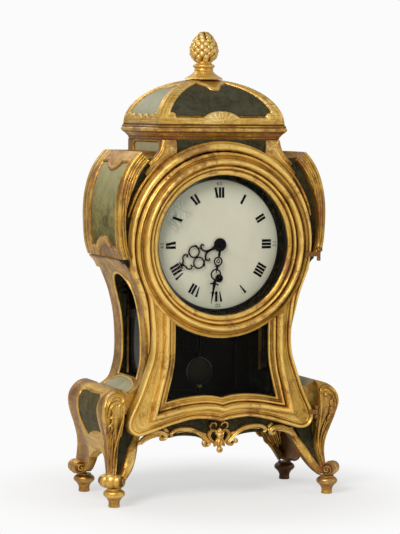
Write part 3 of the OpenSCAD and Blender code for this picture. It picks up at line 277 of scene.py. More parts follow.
# Materials


class Maker:
    """Short forms for the nodes of one material, all on Object coordinates."""

    def __init__(self, name):
        self.material = bpy.data.materials.new(name)
        self.material.use_nodes = True
        self.tree = self.material.node_tree
        self.tree.nodes.clear()
        self.out = self.add("ShaderNodeOutputMaterial")
        self.place = self.add("ShaderNodeTexCoord").outputs["Object"]

    def add(self, kind, **settings):
        node = self.tree.nodes.new(kind)
        for key, value in settings.items():
            setattr(node, key, value)
        return node

    def wire(self, node, **inputs):
        """Sets or links inputs, given by name or, as i0, i1 and so on, by number."""
        for key, value in inputs.items():
            numbered = key[0] == "i" and key[1:].isdigit()
            socket = node.inputs[int(key[1:]) if numbered else key.replace("_", " ")]
            if isinstance(value, bpy.types.NodeSocket):
                self.tree.links.new(value, socket)
            else:
                socket.default_value = value
        return node

    def moved(self, vector, **inputs):
        return self.wire(self.add("ShaderNodeMapping"), Vector=vector, **inputs).outputs[0]

    def length(self, vector):
        return self.wire(self.add("ShaderNodeVectorMath", operation="LENGTH"), i0=vector).outputs["Value"]

    def noise(self, scale, detail=4.0, rough=0.6, place=None, warp=0.0):
        n = self.add("ShaderNodeTexNoise")
        self.wire(n, Vector=place or self.place, Scale=scale, Detail=detail, Roughness=rough, Distortion=warp)
        return n.outputs["Fac"]

    def cells(self, scale):
        n = self.add("ShaderNodeTexVoronoi")
        self.wire(n, Vector=self.place, Scale=scale)
        return n.outputs["Distance"]

    def span(self, value, low, high, to_low=0.0, to_high=1.0):
        n = self.add("ShaderNodeMapRange")
        self.wire(n, Value=value, From_Min=low, From_Max=high, To_Min=to_low, To_Max=to_high)
        return n.outputs[0]

    def math(self, operation, a, b=0.0):
        return self.wire(self.add("ShaderNodeMath", operation=operation), i0=a, i1=b).outputs[0]

    def times(self, a, b):
        return self.math("MULTIPLY", a, b)

    def middle(self, noise, width):
        """1 where a noise crosses one half, falling to 0 at width from there: a net of thin lines."""
        return self.span(self.math("ABSOLUTE", self.math("SUBTRACT", noise, 0.5)), 0.0, width, 1.0, 0.0)

    def blend(self, fac, a, b):
        n = self.add("ShaderNodeMix", data_type="RGBA")
        a, b = (v if isinstance(v, bpy.types.NodeSocket) else (*v, 1.0) for v in (a, b))
        return self.wire(n, i0=fac, i6=a, i7=b).outputs[2]

    def tone(self):
        return self.add("ShaderNodeAttribute", attribute_name="tone").outputs["Fac"]

    def bump(self, height, strength, depth, normal=None):
        n = self.wire(self.add("ShaderNodeBump"), Strength=strength, Distance=depth * MM, Height=height)
        if normal is not None:
            self.wire(n, Normal=normal)
        return n.outputs[0]

    def shader(self, **inputs):
        bsdf = self.wire(self.add("ShaderNodeBsdfPrincipled"), **inputs)
        self.tree.links.new(bsdf.outputs[0], self.out.inputs[0])
        return self.material


def mixed(a, b, t):
    return tuple(x + (y - x) * t for x, y in zip(a, b))


def gilding(name, colours, shift, warm, grime, pale=None):
    """Old gold leaf: dark brown in hollows and pale on ridges after the tone, partly the toned leaf of old gilding
    and partly painted shade and painted highlight, nearly black as painted shadow where the tone is lowest; bole
    where it is worn, and worm holes. shift makes it lighter, warm lets more bole show and grime lays dirt on it."""
    m = Maker(name)
    wide, fine, tone = m.noise(38, 5, 0.65), m.noise(260, 6, 0.7), m.tone()
    flow = m.add("ShaderNodeAttribute", attribute_name="flow").outputs["Vector"]
    streak = m.noise(1.0, 5, 0.7, place=m.moved(flow, Scale=(0.045, 0.85, 1)))
    # The tone paints highlight on ridges and shade in hollows
    level = m.math("ADD", m.times(tone, 0.36), m.span(wide, 0.3, 0.7, 0.26 + shift, 0.70 + shift))
    level = m.math("ADD", level, m.span(fine, 0.25, 0.75, -0.16, 0.16))
    level = m.math("ADD", level, m.span(streak, 0.34, 0.66, -0.30, 0.30))
    leaf = m.blend(m.span(level, 0.06, 0.44), colours.ochre, colours.gold)
    leaf = m.blend(m.span(level, 0.50, 0.95), leaf, pale or colours.pale_gold)
    worn = m.times(m.noise(95, 6, 0.75), m.noise(22, 2, 0.5))
    worn = m.span(worn, 0.31 - warm * 0.08, 0.38 - warm * 0.06)
    leaf = m.blend(m.times(worn, 0.7), leaf, colours.bole)
    long = m.noise(1.0, 4, 0.65, place=m.moved(flow, Location=(7, 3, 0), Scale=(0.03, 0.55, 1)))
    red = m.times(m.span(long, 0.54, 0.63), m.span(wide, 0.35, 0.6, 0.15, 0.75))
    leaf = m.blend(red, leaf, mixed(colours.bole, (0.42, 0.16, 0.035), 0.6))
    # Painted shade: hollows darkened to dark brown
    deep = m.times(m.span(tone, -1.15, -0.5, 1.0, 0.0), m.span(wide, 0.2, 0.6, 0.9, 0.5))
    leaf = m.blend(deep, leaf, (0.050, 0.023, 0.006))
    # Painted shadow: the lowest tones go nearly black
    leaf = m.blend(m.span(tone, -2.3, -1.5, 1.0, 0.0), leaf, (0.008, 0.006, 0.005))
    dirt = m.span(m.noise(150, 8, 0.8), 0.60, 0.72)
    leaf = m.blend(m.times(dirt, grime), leaf, (0.07, 0.04, 0.014))
    holes = m.times(m.span(m.cells(190), 0.05, 0.085, 1.0, 0.0), m.span(m.noise(40, 1, 0.5), 0.52, 0.58))
    leaf = m.blend(holes, leaf, (0.03, 0.015, 0.008))
    cracks = m.bump(m.noise(420, 5, 0.75), 0.5, 0.35)
    dents = m.bump(m.math("SUBTRACT", m.noise(70, 3, 0.5), m.times(holes, 0.6)), 0.55, 1.4, cracks)
    rough = m.span(m.noise(120, 4, 0.6), 0.3, 0.7, 0.26, 0.50)
    return m.shader(Base_Color=leaf, Metallic=0.68, Roughness=rough, Normal=dents)


def marbled(name, dark, pale, amount, gloss, shine):
    """Green paint with cloudy marbling and warm specks under an old varnish, painted paler where the tone is above
    nought and darker where it is below, as painted light and shade.
    """
    m = Maker(name)
    cloud = m.noise(55, 6, 0.7, warp=1.2)
    body = m.blend(m.span(cloud, 0.38, 0.62), dark, mixed(dark, pale, amount))
    veins = m.middle(m.noise(26, 7, 0.75, warp=2.2), 0.03)
    body = m.blend(m.times(veins, 0.35 * amount + 0.1), body, pale)
    specks = m.span(m.cells(310), 0.05, 0.12, 1.0, 0.0)
    body = m.blend(m.times(specks, 0.4), body, (0.16, 0.10, 0.04))
    tone = m.tone()
    # Painted light where the tone is above nought, painted shade where it is below
    body = m.blend(m.span(tone, 0.0, 1.0, 0.0, 0.8), body, mixed(pale, (0.40, 0.42, 0.30), 0.5))
    body = m.blend(m.span(tone, -1.0, 0.0, 0.7, 0.0), body, mixed(dark, (0.01, 0.01, 0.006), 0.6))
    rubbed = m.span(m.noise(140, 8, 0.8), 0.62, 0.75)
    body = m.blend(m.times(rubbed, 0.5), body, (0.20, 0.13, 0.06))
    rough = m.span(m.noise(90, 3, 0.6), 0.3, 0.7, gloss, gloss + 0.25)
    grain = m.bump(m.noise(230, 5, 0.7), 0.35, 0.5)
    return m.shader(Base_Color=body, Roughness=rough, Specular_IOR_Level=shine, Normal=grain)


def metal(name, colour, rough=0.3, tarnish=(0.10, 0.06, 0.03)):
    """Bare metal with patches of tarnish and scuffs that run upwards."""
    m = Maker(name)
    body = m.blend(m.span(m.noise(160, 6, 0.7), 0.55, 0.75, 0.0, 0.7), colour, tarnish)
    scuffs = m.noise(900, 3, 0.6, place=m.moved(m.place, Scale=(1, 1, 0.15)))
    worn = m.span(m.noise(300, 4, 0.6), 0.3, 0.7, rough, rough + 0.2)
    return m.shader(Base_Color=body, Metallic=1.0, Roughness=worn, Normal=m.bump(scuffs, 0.2, 0.1))


def board(name, colour, dark):
    """Stained board, painted nearly black as shade on the faces that look into the case, which lie in front of the
    back's outer face."""
    m = Maker(name)
    grain = m.noise(40, 8, 0.7, place=m.moved(m.place, Scale=(6, 6, 0.5)), warp=0.6)
    body = m.blend(m.span(grain, 0.35, 0.65), colour, mixed(colour, (0.01, 0.006, 0.004), 0.6))
    depth = m.wire(m.add("ShaderNodeSeparateXYZ"), Vector=m.place).outputs["Y"]
    # Painted shade: faces inside the case nearly black
    body = m.blend(m.times(m.span(depth, 0.0665, 0.0672, 1.0, 0.0), 0.92), body, dark)
    rough = m.span(grain, 0.3, 0.7, 0.55, 0.75)
    return m.shader(Base_Color=body, Roughness=rough, Specular_IOR_Level=0.08, Normal=m.bump(grain, 0.4, 0.4))


def enamelled(name, colours):
    """Old enamel: greenish towards the rim, with hair cracks and a stain by the tenth hour."""
    m = Maker(name)
    centre = m.moved(m.place, Location=(0, 0, -DIAL_Z * MM), Scale=(1, 0, 1))
    away = m.length(centre)
    body = m.blend(m.span(away, 0.055, 0.083), colours.enamel, mixed(colours.enamel, (0.42, 0.46, 0.33), 0.45))
    body = m.blend(m.span(m.noise(30, 4, 0.6), 0.4, 0.7, 0.0, 0.25), body, (0.55, 0.52, 0.40))
    near = m.length(m.moved(centre, Location=(0.060, 0, -0.040)))
    crack = m.middle(m.noise(34, 3, 0.6, warp=1.0), 0.02)
    stain = m.times(m.span(near, 0.012, 0.030, 1.0, 0.0), m.math("ADD", m.times(crack, 0.6), 0.2))
    body = m.blend(stain, body, (0.20, 0.24, 0.18))
    warm = m.times(m.span(away, 0.062, 0.081), m.span(m.noise(12, 2, 0.5), 0.45, 0.65, 0.0, 0.35))
    body = m.blend(warm, body, (0.42, 0.30, 0.16))
    body = m.blend(m.span(away, 0.0794, 0.0800), body, (0.008, 0.008, 0.012))
    return m.shader(Base_Color=body, Roughness=0.34, Normal=m.bump(m.noise(60, 2, 0.5), 0.15, 0.3))


def pane(name):
    """Old glass that lets the light through straight and shows a faint reflection."""
    m = Maker(name)
    clear = m.wire(m.add("ShaderNodeBsdfTransparent"), Color=(0.975, 0.985, 0.975, 1))
    wave = m.bump(m.noise(25, 2, 0.5), 0.2, 0.3)
    shine = m.wire(m.add("ShaderNodeBsdfGlossy"), Color=(1, 1, 1, 1), Roughness=0.03, Normal=wave)
    edge = m.wire(m.add("ShaderNodeFresnel"), IOR=1.35)
    faint = m.times(edge.outputs[0], 0.10)
    mixed_both = m.wire(m.add("ShaderNodeMixShader"), i0=faint, i1=clear.outputs[0], i2=shine.outputs[0])
    m.tree.links.new(mixed_both.outputs[0], m.out.inputs[0])
    return m.material


# How light each gilding is, how much bole shows, how much dirt lies on it, and its pale leaf if it is its own.
# The darkest is a copy painted as shade, for the right rear leg and the door hinges
GILDINGS = {
    "gilding": (0.0, 0.0, 0.5), "brown_gilding": (-0.22, 1.0, 0.8), "tan_gilding": (0.0, 1.6, 0.5),
    "worn_gilding": (-0.26, 0.6, 0.7), "rich_gilding": (0.20, 0.4, 0.35, (0.93, 0.64, 0.18)),
    "leg_gilding": (-0.20, 0.9, 0.7), "bright_gilding": (0.1, 0.0, 0.2), "shaded_gilding": (-0.46, 1.4, 0.85),
}
BLACK = (0, 0, 0)


class Finishes:
    """Every finish of the clock, made once."""

    made = {}

    @classmethod
    def get(cls, name):
        if not cls.made:
            c = bpy.context.scene.clock_colours
            green, sage, ink = tuple(c.green), tuple(c.sage), tuple(c.ink)
            paints = {  # ground, pale parts and how much of them, roughness, shine
                "green": (mixed(green, (0.05, 0.04, 0.0), 0.4), (0.36, 0.30, 0.09), 0.5, 0.45, 0.12),
                "sage": (mixed(green, sage, 0.55), sage, 1.0, 0.35, 0.32),
                "black_green": (mixed(green, BLACK, 0.6), sage, 0.12, 0.3, 0.32),
                "night_green": (mixed(green, BLACK, 0.72), sage, 0.08, 0.5, 0.1),
                # Nearly black green, painted shade on faces that look into the case
                "inside": (mixed(green, BLACK, 0.9), sage, 0.02, 0.6, 0.05),
                "deep_green": (mixed(green, (0.02, 0.008, 0), 0.5), (0.30, 0.24, 0.10), 0.22, 0.5, 0.12),
            }
            metals = {  # colour, roughness, tarnish
                "brass": (tuple(c.brass),),
                # Brass painted nearly black as shade, for the bob and rod inside the case
                "dark_brass": ((0.045, 0.036, 0.026), 0.55, (0.012, 0.01, 0.008)),
                "steel": ((0.35, 0.35, 0.36),),
                "black": (ink, 0.35, (0.02, 0.015, 0.012)),
                "ink": (ink, 0.5, (0.02, 0.02, 0.018)),
            }
            cls.made = {name: gilding(name, c, *values) for name, values in GILDINGS.items()}
            cls.made.update({name: marbled(name, *values) for name, values in paints.items()})
            cls.made.update({name: metal(name, *values) for name, values in metals.items()})
            cls.made["board"] = board("board", tuple(c.wood), (0.007, 0.007, 0.006))
            cls.made["enamel"] = enamelled("enamel", c)
            cls.made["pane"] = pane("pane")
        return cls.made[name]


# Door


def door_outline():
    """Right half of the door's outline, from the notch at its foot up to the crown of its ring."""
    z = DOOR_Z
    foot = (DOOR_HI[0] - DOOR_LO[0]) / 2
    waist = 92.5
    waist_z = 190.0
    low = smooth(
        [
            (0, z + 13), (13, z + 16), (38, z + 17.5), (66, z + 12), (90, z + 4.5), (106, z), (114, z + 0.5),
            (121, z + 5), (foot, z + 14), (foot - 2, z + 24), (foot - 14, z + 49), (foot - 23, waist_z - 33),
            (waist + 2, waist_z - 11), (waist, waist_z + 14), (waist + 2, waist_z + 38),
            (RING_R * math.cos(math.radians(34)) + 3.5, DIAL_Z - RING_R * math.sin(math.radians(34))),
            (RING_R * math.cos(math.radians(22)), DIAL_Z - RING_R * math.sin(math.radians(22))),
        ],
        8,
    )
    return low, arc((0, DIAL_Z), RING_R, -22, 90, 80)


WINDOW_ARC, WINDOW_X = 115.5, 61.5


def window_outline():
    """Right half of the pendulum window: its foot, and its side up to the arc below the dial."""
    z = DOOR_Z + 43
    top = DIAL_Z - math.sqrt(WINDOW_ARC**2 - WINDOW_X**2)
    foot = smooth([(0, z + 0.5), (11, z + 3), (28, z + 4), (52, z + 2), (73, z - 2)], 8)
    side = smooth(
        [(73, z - 2), (69, z + 14), (65, z + 30), (WINDOW_X + 0.5, z + 50), (WINDOW_X, z + 73), (WINDOW_X, top)], 8
    )
    return foot, side


def half_round(start, r, low, high, t0, t1):
    """Seven points of a half-round moulding, with a painted highlight on its crown."""
    a = np.radians(np.linspace(15, 165, 7))
    return [(start + r - r * math.cos(b), low + (high - low) * k, t0 + (t1 - t0) * k) for b, k in zip(a, np.sin(a))]


# Distance from an edge, height above the back of the door and tone of the gilding, which paints highlight on the
# crowns and shade in the hollows; the first tone of the ring and of the sides, on the walls of the sight and of the
# window, is painted shadow
RING_BANDS = np.array(
    [(0.0, 7.5, -3.2), (0.5, 9.0, -1.3), (1.5, 10.2, 0.0), (3.5, 11.4, 0.3), (5.4, 11.6, 0.1), (6.5, 10.8, -0.8)]
    + [(7.2, 9.6, -1.2)] + half_round(7.8, 2.0, 10.4, 15.2, -0.9, 1.0)
    + [(12.6, 11.0, -1.2)] + half_round(13.2, 3.6, 12.0, 20.0, -0.9, 0.95)
    + [(21.0, 10.4, -1.1), (22.6, 9.6, -0.9), (24.2, 10.4, -0.6), (24.9, 12.4, 0.2), (25.7, 13.2, 0.6)]
    + [(26.4, 12.2, -0.1), (26.8, 11.8, -0.8), (27.3, 12.2, 0.2), (28.0, 11.6, 0.2), (28.6, 10.0, -0.8)]
)
SIDE_BANDS = np.array(
    [(0.0, 6.5, -2.6), (0.5, 8.2, -0.4), (1.5, 9.8, 0.25), (2.6, 9.9, 0.0), (3.1, 8.8, -0.9), (4.6, 8.6, -0.75)]
    + [(5.7, 9.2, -0.9)] + half_round(6.0, 1.7, 9.8, 13.8, -0.9, 0.9)
    + [(9.9, 9.8, -1.2)] + half_round(10.6, 3.7, 11.5, 20.0, -0.8, 0.95)
    + [(18.6, 10.8, -0.5), (20.4, 9.5, -0.42), (24.0, 8.9, -0.32), (60.0, 8.9, -0.32)]
)
RIM_BANDS = np.array(
    [(0.0, 8.0, -0.4), (0.5, 11.0, 0.2), (1.8, 13.2, 0.8), (3.0, 13.4, 0.9), (4.2, 12.2, 0.3), (4.8, 10.4, -1.0)]
    + [(5.4, 9.6, -1.0), (6.0, 10.2, -0.2), (6.8, 10.0, 0.0), (7.4, 9.2, -0.6), (9.0, 8.9, -0.4)]
)
SIDE_WIDTH, RIM_WIDTH = 18.0, 8.0
# Gain of the flat band along the foot, which catches more light, and where it begins beside the mouldings
FOOT_LIGHT, FLAT_FROM = 0.8, 18.6
# Painted light and shade on the door: how much paler the leaf is painted above and below the dial, and darker on
# the right; hollows darker than this keep theirs
PAINTED_LIGHT_HIGH, PAINTED_SHADE_RIGHT, HOLLOW = 0.3, 0.55, -1.05
# Points across the ring, across the sides, down each side and along each half of the foot
RING_ACROSS, SIDE_ACROSS, SIDE_DOWN, FOOT_ALONG = 74, 88, 200, 120
# Where the outline of the foot curls round its corner, which ends the side: from the middle, and up at most
CURL_X, CURL_UP = 117, 12


def beyond_line(points, line, along):
    """Signed distance beyond a line that runs mainly along one axis, with its ends carried on straight."""
    across = 1 - along
    order = np.argsort(line[:, along])
    a, b = line[order][:, along], line[order][:, across]
    slope = np.gradient(b, a)
    at = points[..., along]
    base = np.interp(at, a, b) + np.minimum(at - a[0], 0) * slope[0] + np.maximum(at - a[-1], 0) * slope[-1]
    lean = np.interp(at, a, slope)
    return (points[..., across] - base) / np.sqrt(1 + lean**2)


def door_height(points, outline, foot, side):
    """Height and tone of the mouldings: bands by the distance from the sight ring, bands by the
    larger of the distances beyond the window's side and below its foot, which mitres the corners, and bands by
    the distance from the outer edge."""
    r = np.linalg.norm(points - [0, DIAL_Z], axis=-1)
    d_out = distance(points, outline)
    right = np.stack([np.abs(points[..., 0]), points[..., 1]], -1)
    d_side = beyond_line(right, side, 1)
    d_foot = -beyond_line(right, foot, 0)
    d_in = np.maximum(d_side, d_foot)

    def pick(k):
        ring = np.interp(r - SIGHT_R, RING_BANDS[:, 0], RING_BANDS[:, k])
        band = np.interp(d_in, SIDE_BANDS[:, 0], SIDE_BANDS[:, k])
        rim = np.interp(d_out, RIM_BANDS[:, 0], RIM_BANDS[:, k])
        band = band + (k == 2) * FOOT_LIGHT * ((d_foot > d_side) & (d_in > FLAT_FROM))
        return np.where(r <= RING_R, ring, np.where((d_out < RIM_WIDTH) & (d_in > SIDE_WIDTH), rim, band))

    return pick(1), pick(2)


def door_band(shell, outer, inner, across, lines, closed):
    """A band between two lines of equal count: its face has the mouldings, then its sides and back close it, their
    tone lowered as painted shade. The leaf is painted paler above and below the dial and darker on the right, as
    painted light and shade."""
    v = np.linspace(0, 1, across)[None, :, None]
    flat = outer[:, None, :] * (1 - v) + inner[:, None, :] * v
    h, tone = door_height(flat, *lines)
    # Painted light above and below the dial, painted shade on the right
    light_and_shade = PAINTED_LIGHT_HIGH * np.clip(np.abs(flat[..., 1] - DIAL_Z) / 90, 0, 1)
    light_and_shade = light_and_shade - PAINTED_SHADE_RIGHT * ease(np.clip((flat[..., 0] - 20) / 50, 0, 1))
    tone = np.where(tone > HOLLOW, tone + light_and_shade, tone)
    face = xyz(flat[..., 0], DOOR_BACK - h, flat[..., 1])
    back = face[:, [-1, 0]] * [1, 0, 1] + [0, DOOR_BACK, 0]
    tone = np.concatenate([tone, tone[:, [-1, 0]] - 0.4], 1)
    shell.grid(np.concatenate([face, back], 1), around=True, along=closed, tone=tone)


class CLOCK_OT_door(bpy.types.Operator):
    """Door frame with its swept mouldings, round the dial and down both sides of the pendulum window"""

    bl_idname = "clock.door"
    bl_label = "Door frame"

    def execute(self, context):
        low, ring_side = door_outline()
        foot, side = window_outline()
        outline = np.vstack([low, ring_side[1:], mirrored(ring_side)[1:], mirrored(low)[1:]])
        lines = (outline, foot, side)
        shell = Shell()
        centre = [0, DIAL_Z]
        circle = ring(0, 0, 1, 361)[:-1]
        door_band(shell, circle * RING_R + centre, circle * SIGHT_R + centre, RING_ACROSS, lines, True)
        corner = math.degrees(math.acos(WINDOW_X / WINDOW_ARC))
        inner = np.vstack([arc(centre, RING_R - 0.4, -22, -corner, 20), side[::-1]])
        down = low[::-1]
        curl = np.argmin(np.abs(down[:, 0] - CURL_X) + (down[:, 1] > DOOR_Z + CURL_UP) * 99)
        # Places on the inner line that lie across from even steps of the outer one
        share = np.interp(np.linspace(0, 1, SIDE_DOWN), (0, 0.30, 0.46, 0.82, 1), (0, 0.33, 0.47, 0.90, 1))
        side_inner = resample(inner, 2000)[(share * 1999).astype(int)]
        outer = np.vstack([resample(down[:curl], SIDE_DOWN), resample(down[curl - 1 :], FOOT_ALONG)[1:]])
        inside = np.vstack([side_inner, resample(foot[::-1], FOOT_ALONG)[1:]])
        outer = np.vstack([outer, mirrored(outer)[1:]])
        inside = np.vstack([inside, mirrored(inside)[1:]])
        door_band(shell, outer, inside, SIDE_ACROSS, lines, False)
        shell.build("door_frame_moulded", "rich_gilding", "door_frame", body="door")
        return {"FINISHED"}


# Dial


def dial_face(r):
    """Front of the domed dial: a quarter oval of 3.5 mm over its half width."""
    return DIAL_BACK - 1 - 3.5 * np.sqrt(np.clip(1 - (r / DIAL_R) ** 2, 0, 1))


def ink_line(shell, line, wide, thick=0.15):
    """A stroke laid on the dial: a line of points in X and Z with a half width at each point."""
    line, wide = np.asarray(line, float), np.broadcast_to(np.asarray(wide, float), (len(line),))[:, None]
    along = unit(np.gradient(line, axis=0))
    side = np.stack([along[:, 1], -along[:, 0]], 1) * wide
    edges = np.stack([line - side, line + side], 1)
    y = dial_face(np.linalg.norm(edges, axis=-1))
    top = xyz(edges[..., 0], y - thick, edges[..., 1] + DIAL_Z)
    low = top[:, ::-1] + [0, thick + 0.4, 0]
    shell.grid(np.concatenate([top, low], 1), around=True, caps=True)


# Strokes of each letter: sideways and upward ends in parts of its width and height, then half widths in millimetres
SERIF = 0.09
FOOT_SERIF, HEAD_SERIF = ((0, 0), (1, 0), SERIF, SERIF), ((0, 1), (1, 1), SERIF, SERIF)
LETTERS = {
    "I": (4.1, [((0.5, 0), (0.5, 1), 1.6, 1.6), FOOT_SERIF, HEAD_SERIF]),
    "V": (6.0, [((0.62, 0), (0.2, 1), 0.45, 1.6), ((0.62, 0), (0.95, 1), 0.13, 0.13), HEAD_SERIF]),
    "X": (5.4, [((0.74, 0), (0.24, 1), 1.6, 1.6), ((0.15, 0), (0.82, 1), 0.13, 0.13), HEAD_SERIF, FOOT_SERIF]),
}
FIGURE_R, FIGURE_STEP, FIGURE_W, FIGURE_H, FIGURE_LINE = 73.2, 4.0, 2.6, 4.0, 0.26
HOURS = ("XII", "I", "II", "III", "IIII", "V", "VI", "VII", "VIII", "IX", "X", "XI")
DIGITS = {
    "0": smooth(
        [(0.5, 0), (0.05, 0.2), (0, 0.5), (0.05, 0.8), (0.5, 1), (0.95, 0.8), (1, 0.5), (0.95, 0.2), (0.5, 0)], 3
    ),
    "1": np.array([(0.2, 0.8), (0.5, 1.0), (0.5, 0.5), (0.5, 0.0)]),
    "3": smooth([(0, 0.85), (0.5, 1), (0.9, 0.78), (0.45, 0.55), (1, 0.28), (0.5, 0), (0, 0.15)], 3),
    "4": np.array([(0.7, 0.0), (0.7, 0.5), (0.7, 1.0), (0.0, 0.3), (0.5, 0.3), (1.0, 0.3)]),
    "5": np.array([(0.9, 1.0), (0.2, 1.0), (0.1, 0.6), (0.6, 0.62), (0.95, 0.35), (0.6, 0.02), (0.0, 0.1)]),
    "6": smooth([(0.8, 1), (0.2, 0.7), (0, 0.3), (0.4, 0), (0.95, 0.3), (0.5, 0.58), (0.05, 0.3)], 3),
}


class CLOCK_OT_numerals(bpy.types.Operator):
    """Painted hour numerals round the dial and the quarter figures outside them"""

    bl_idname = "clock.numerals"
    bl_label = "Numerals"

    def execute(self, context):
        sizes = context.scene.clock_sizes
        inner, tall = sizes.numeral_in / MM, sizes.numeral_h / MM
        shell = Shell()

        def draw(turn, u, r, wide):
            """Line of sideways places u at radii r, turned clockwise from the top."""
            c, k = math.cos(math.radians(turn)), math.sin(math.radians(turn))
            ink_line(shell, np.stack([k * r + c * u, c * r - k * u], 1), wide)

        t = np.linspace(0, 1, 7)
        for hour, word in enumerate(HOURS):
            start = -sum(LETTERS[letter][0] for letter in word) / 2
            for letter in word:
                width, strokes = LETTERS[letter]
                for (u0, v0), (u1, v1), w0, w1 in strokes:
                    u = start + width * mix(u0, u1, t)
                    draw(30 * hour, u, inner + tall * mix(v0, v1, t), mix(w0, w1, t))
                start += width
        for turn, word in ((0, "60"), (90, "15"), (180, "30"), (270, "45")):
            for k, digit in enumerate(word):
                line = DIGITS[digit]
                u = (k - 0.85) * FIGURE_STEP + FIGURE_W * line[:, 0]
                draw(turn, u, FIGURE_R + FIGURE_H * line[:, 1], FIGURE_LINE)
        shell.build("dial_numerals", "ink", slot="blackened_steel", angle=30)
        return {"FINISHED"}


HOUR_TURN, MINUTE_TURN = 244.8, 189.7


def ring(s, t, r, n=28):
    """Points round a circle, the last on the first."""
    return arc((s, t), r, 0, 360, n - 1)


class CLOCK_OT_hands(bpy.types.Operator):
    """Pierced blued hands, cut from sheet: scrolls and rings drawn as lines of changing width"""

    bl_idname = "clock.hands"
    bl_label = "Hands"

    def execute(self, context):
        for node, body, turn, lines, hub in (
            ("hour_hand", "hour_group", HOUR_TURN, self.hour_lines(), 8.2),
            ("minute_hand", "minute_group", MINUTE_TURN, self.minute_lines(), 6.6),
        ):
            low, high = box_mm(node)
            front, back = low[1], high[1]
            shell = Shell()
            k, c = math.sin(math.radians(turn)), math.cos(math.radians(turn))
            way, side = np.array([k, 0, c]), np.array([c, 0, -k])
            for line, wide in lines:
                line = np.asarray(line, float)
                wide = np.broadcast_to(np.asarray(wide, float), (len(line),))[:, None]
                along = unit(np.gradient(line, axis=0))
                edge = np.stack([-along[:, 1], along[:, 0]], 1) * wide
                rows = []
                section = ((-1, back), (-1, front + 0.3), (-0.6, front), (0.6, front), (1, front + 0.3), (1, back))
                for share, y in section:
                    flat = line + edge * share
                    rows.append(flat[:, :1] * way + flat[:, 1:] * side + np.array([0, y, DIAL_Z]))
                shell.grid(np.stack(rows, 1), around=True, caps=True)
            disc = np.array([(3.0, back), (hub, back), (hub, front + 0.4), (hub - 0.5, front), (3.0, front)])
            r, y = disc[:, :1], disc[:, 1:]
            a = np.radians(np.linspace(0, 360, 40, endpoint=False))[None, :]
            shell.grid(xyz(r * np.cos(a), y, DIAL_Z + r * np.sin(a)), around=True, along=True)
            shell.build(node + "_pierced", "black", node, body=body, slot="blackened_steel", angle=40)
        return {"FINISHED"}

    def hour_lines(self):
        lines = [([(7.4, 0), (11, 0), (15.5, 0)], [2.6, 1.7, 1.0])]
        for side in (1, -1):
            arm = [(14.5, 0.2), (18.7, 0.8), (22.2, 2.7), (24.4, 6.2), (23.5, 9.8), (21.0, 10.8), (19.8, 8.6)]
            arm = smooth(arm, 6)
            lines.append((arm * [1, side], np.linspace(1.15, 0.8, len(arm))))
            lines.append((smooth([(24.2, 5.4), (26.2, 8.4), (28.6, 9.8)], 4) * [1, side], 0.6))
            lines.append((ring(34.8, 7.5 * side, 6.8), 0.85))
            lines.append((smooth([(28.4, 11.2), (29.0, 13.0), (31.0, 14.6)], 4) * [1, side], 0.6))
            sweep = smooth([(45.6, 5.2), (44.9, 7.6), (47.4, 9.7), (51.2, 7.4), (52.8, 3.0), (56.4, 0.4)], 6)
            lines.append((sweep * [1, side], 0.9))
            lines.append((np.array([(41.2, 8.4), (43, 8.2), (45.2, 7.6)]) * [1, side], 0.6))
            lines.append((smooth([(56.2, 0.2), (57.4, 2.4), (57.2, 4.4)], 4) * [1, side], 0.75))
        lines.append(([(53.5, 0), (57, 0), (61.8, 0)], [1.2, 1.2, 0.3]))
        lines.append(([(33.8, 0), (34.8, 0), (35.8, 0)], 0.8))
        return lines

    def minute_lines(self):
        lines = [([(5.6, 0), (9, 0), (12.5, 0), (15.6, 0)], [2.3, 1.4, 1.7, 0.9]), (ring(20.6, 0, 5.0), 0.85)]
        heart = smooth([(17.2, 0), (20.5, 2.0), (22.2, 0.9), (21.2, 0.1)], 5)
        for side in (1, -1):
            lines.append((heart * [1, side], 0.42))
            lines.append((smooth([(25.0, 1.8), (27.6, 0.6), (30.2, 1.2), (31.6, 3.4)], 5) * [1, side], 0.62))
            lines.append((smooth([(26.4, 3.4), (28.4, 0.4), (30.8, 0.2)], 5) * [1, side], 0.5))
            lines.append((smooth([(49, 0), (48.4, 3.0), (49.8, 5.6)], 4) * [1, side], [0.9] * 5 + [0.8] * 3 + [0.4]))
            lines.append((smooth([(60, 0), (59.6, 1.6), (60.4, 3.0)], 4) * [1, side], 0.5))
        lines.append((ring(37.0, 0, 6.2), 0.9))
        blade = np.array([(42.8, 0), (46, 0), (49, 0), (53, 0), (57, 0), (60, 0), (64, 0), (73.6, 0)], float)
        lines.append((blade, [1.4, 1.9, 2.2, 1.5, 1.2, 1.5, 1.0, 0.15]))
        lines.append(([(31.2, 0), (33, 0), (35.5, 0)], [0.9, 0.7, 0.3]))
        return lines


# Carving


def unit(v):
    return v / np.maximum(np.linalg.norm(v, axis=-1, keepdims=True), 1e-9)


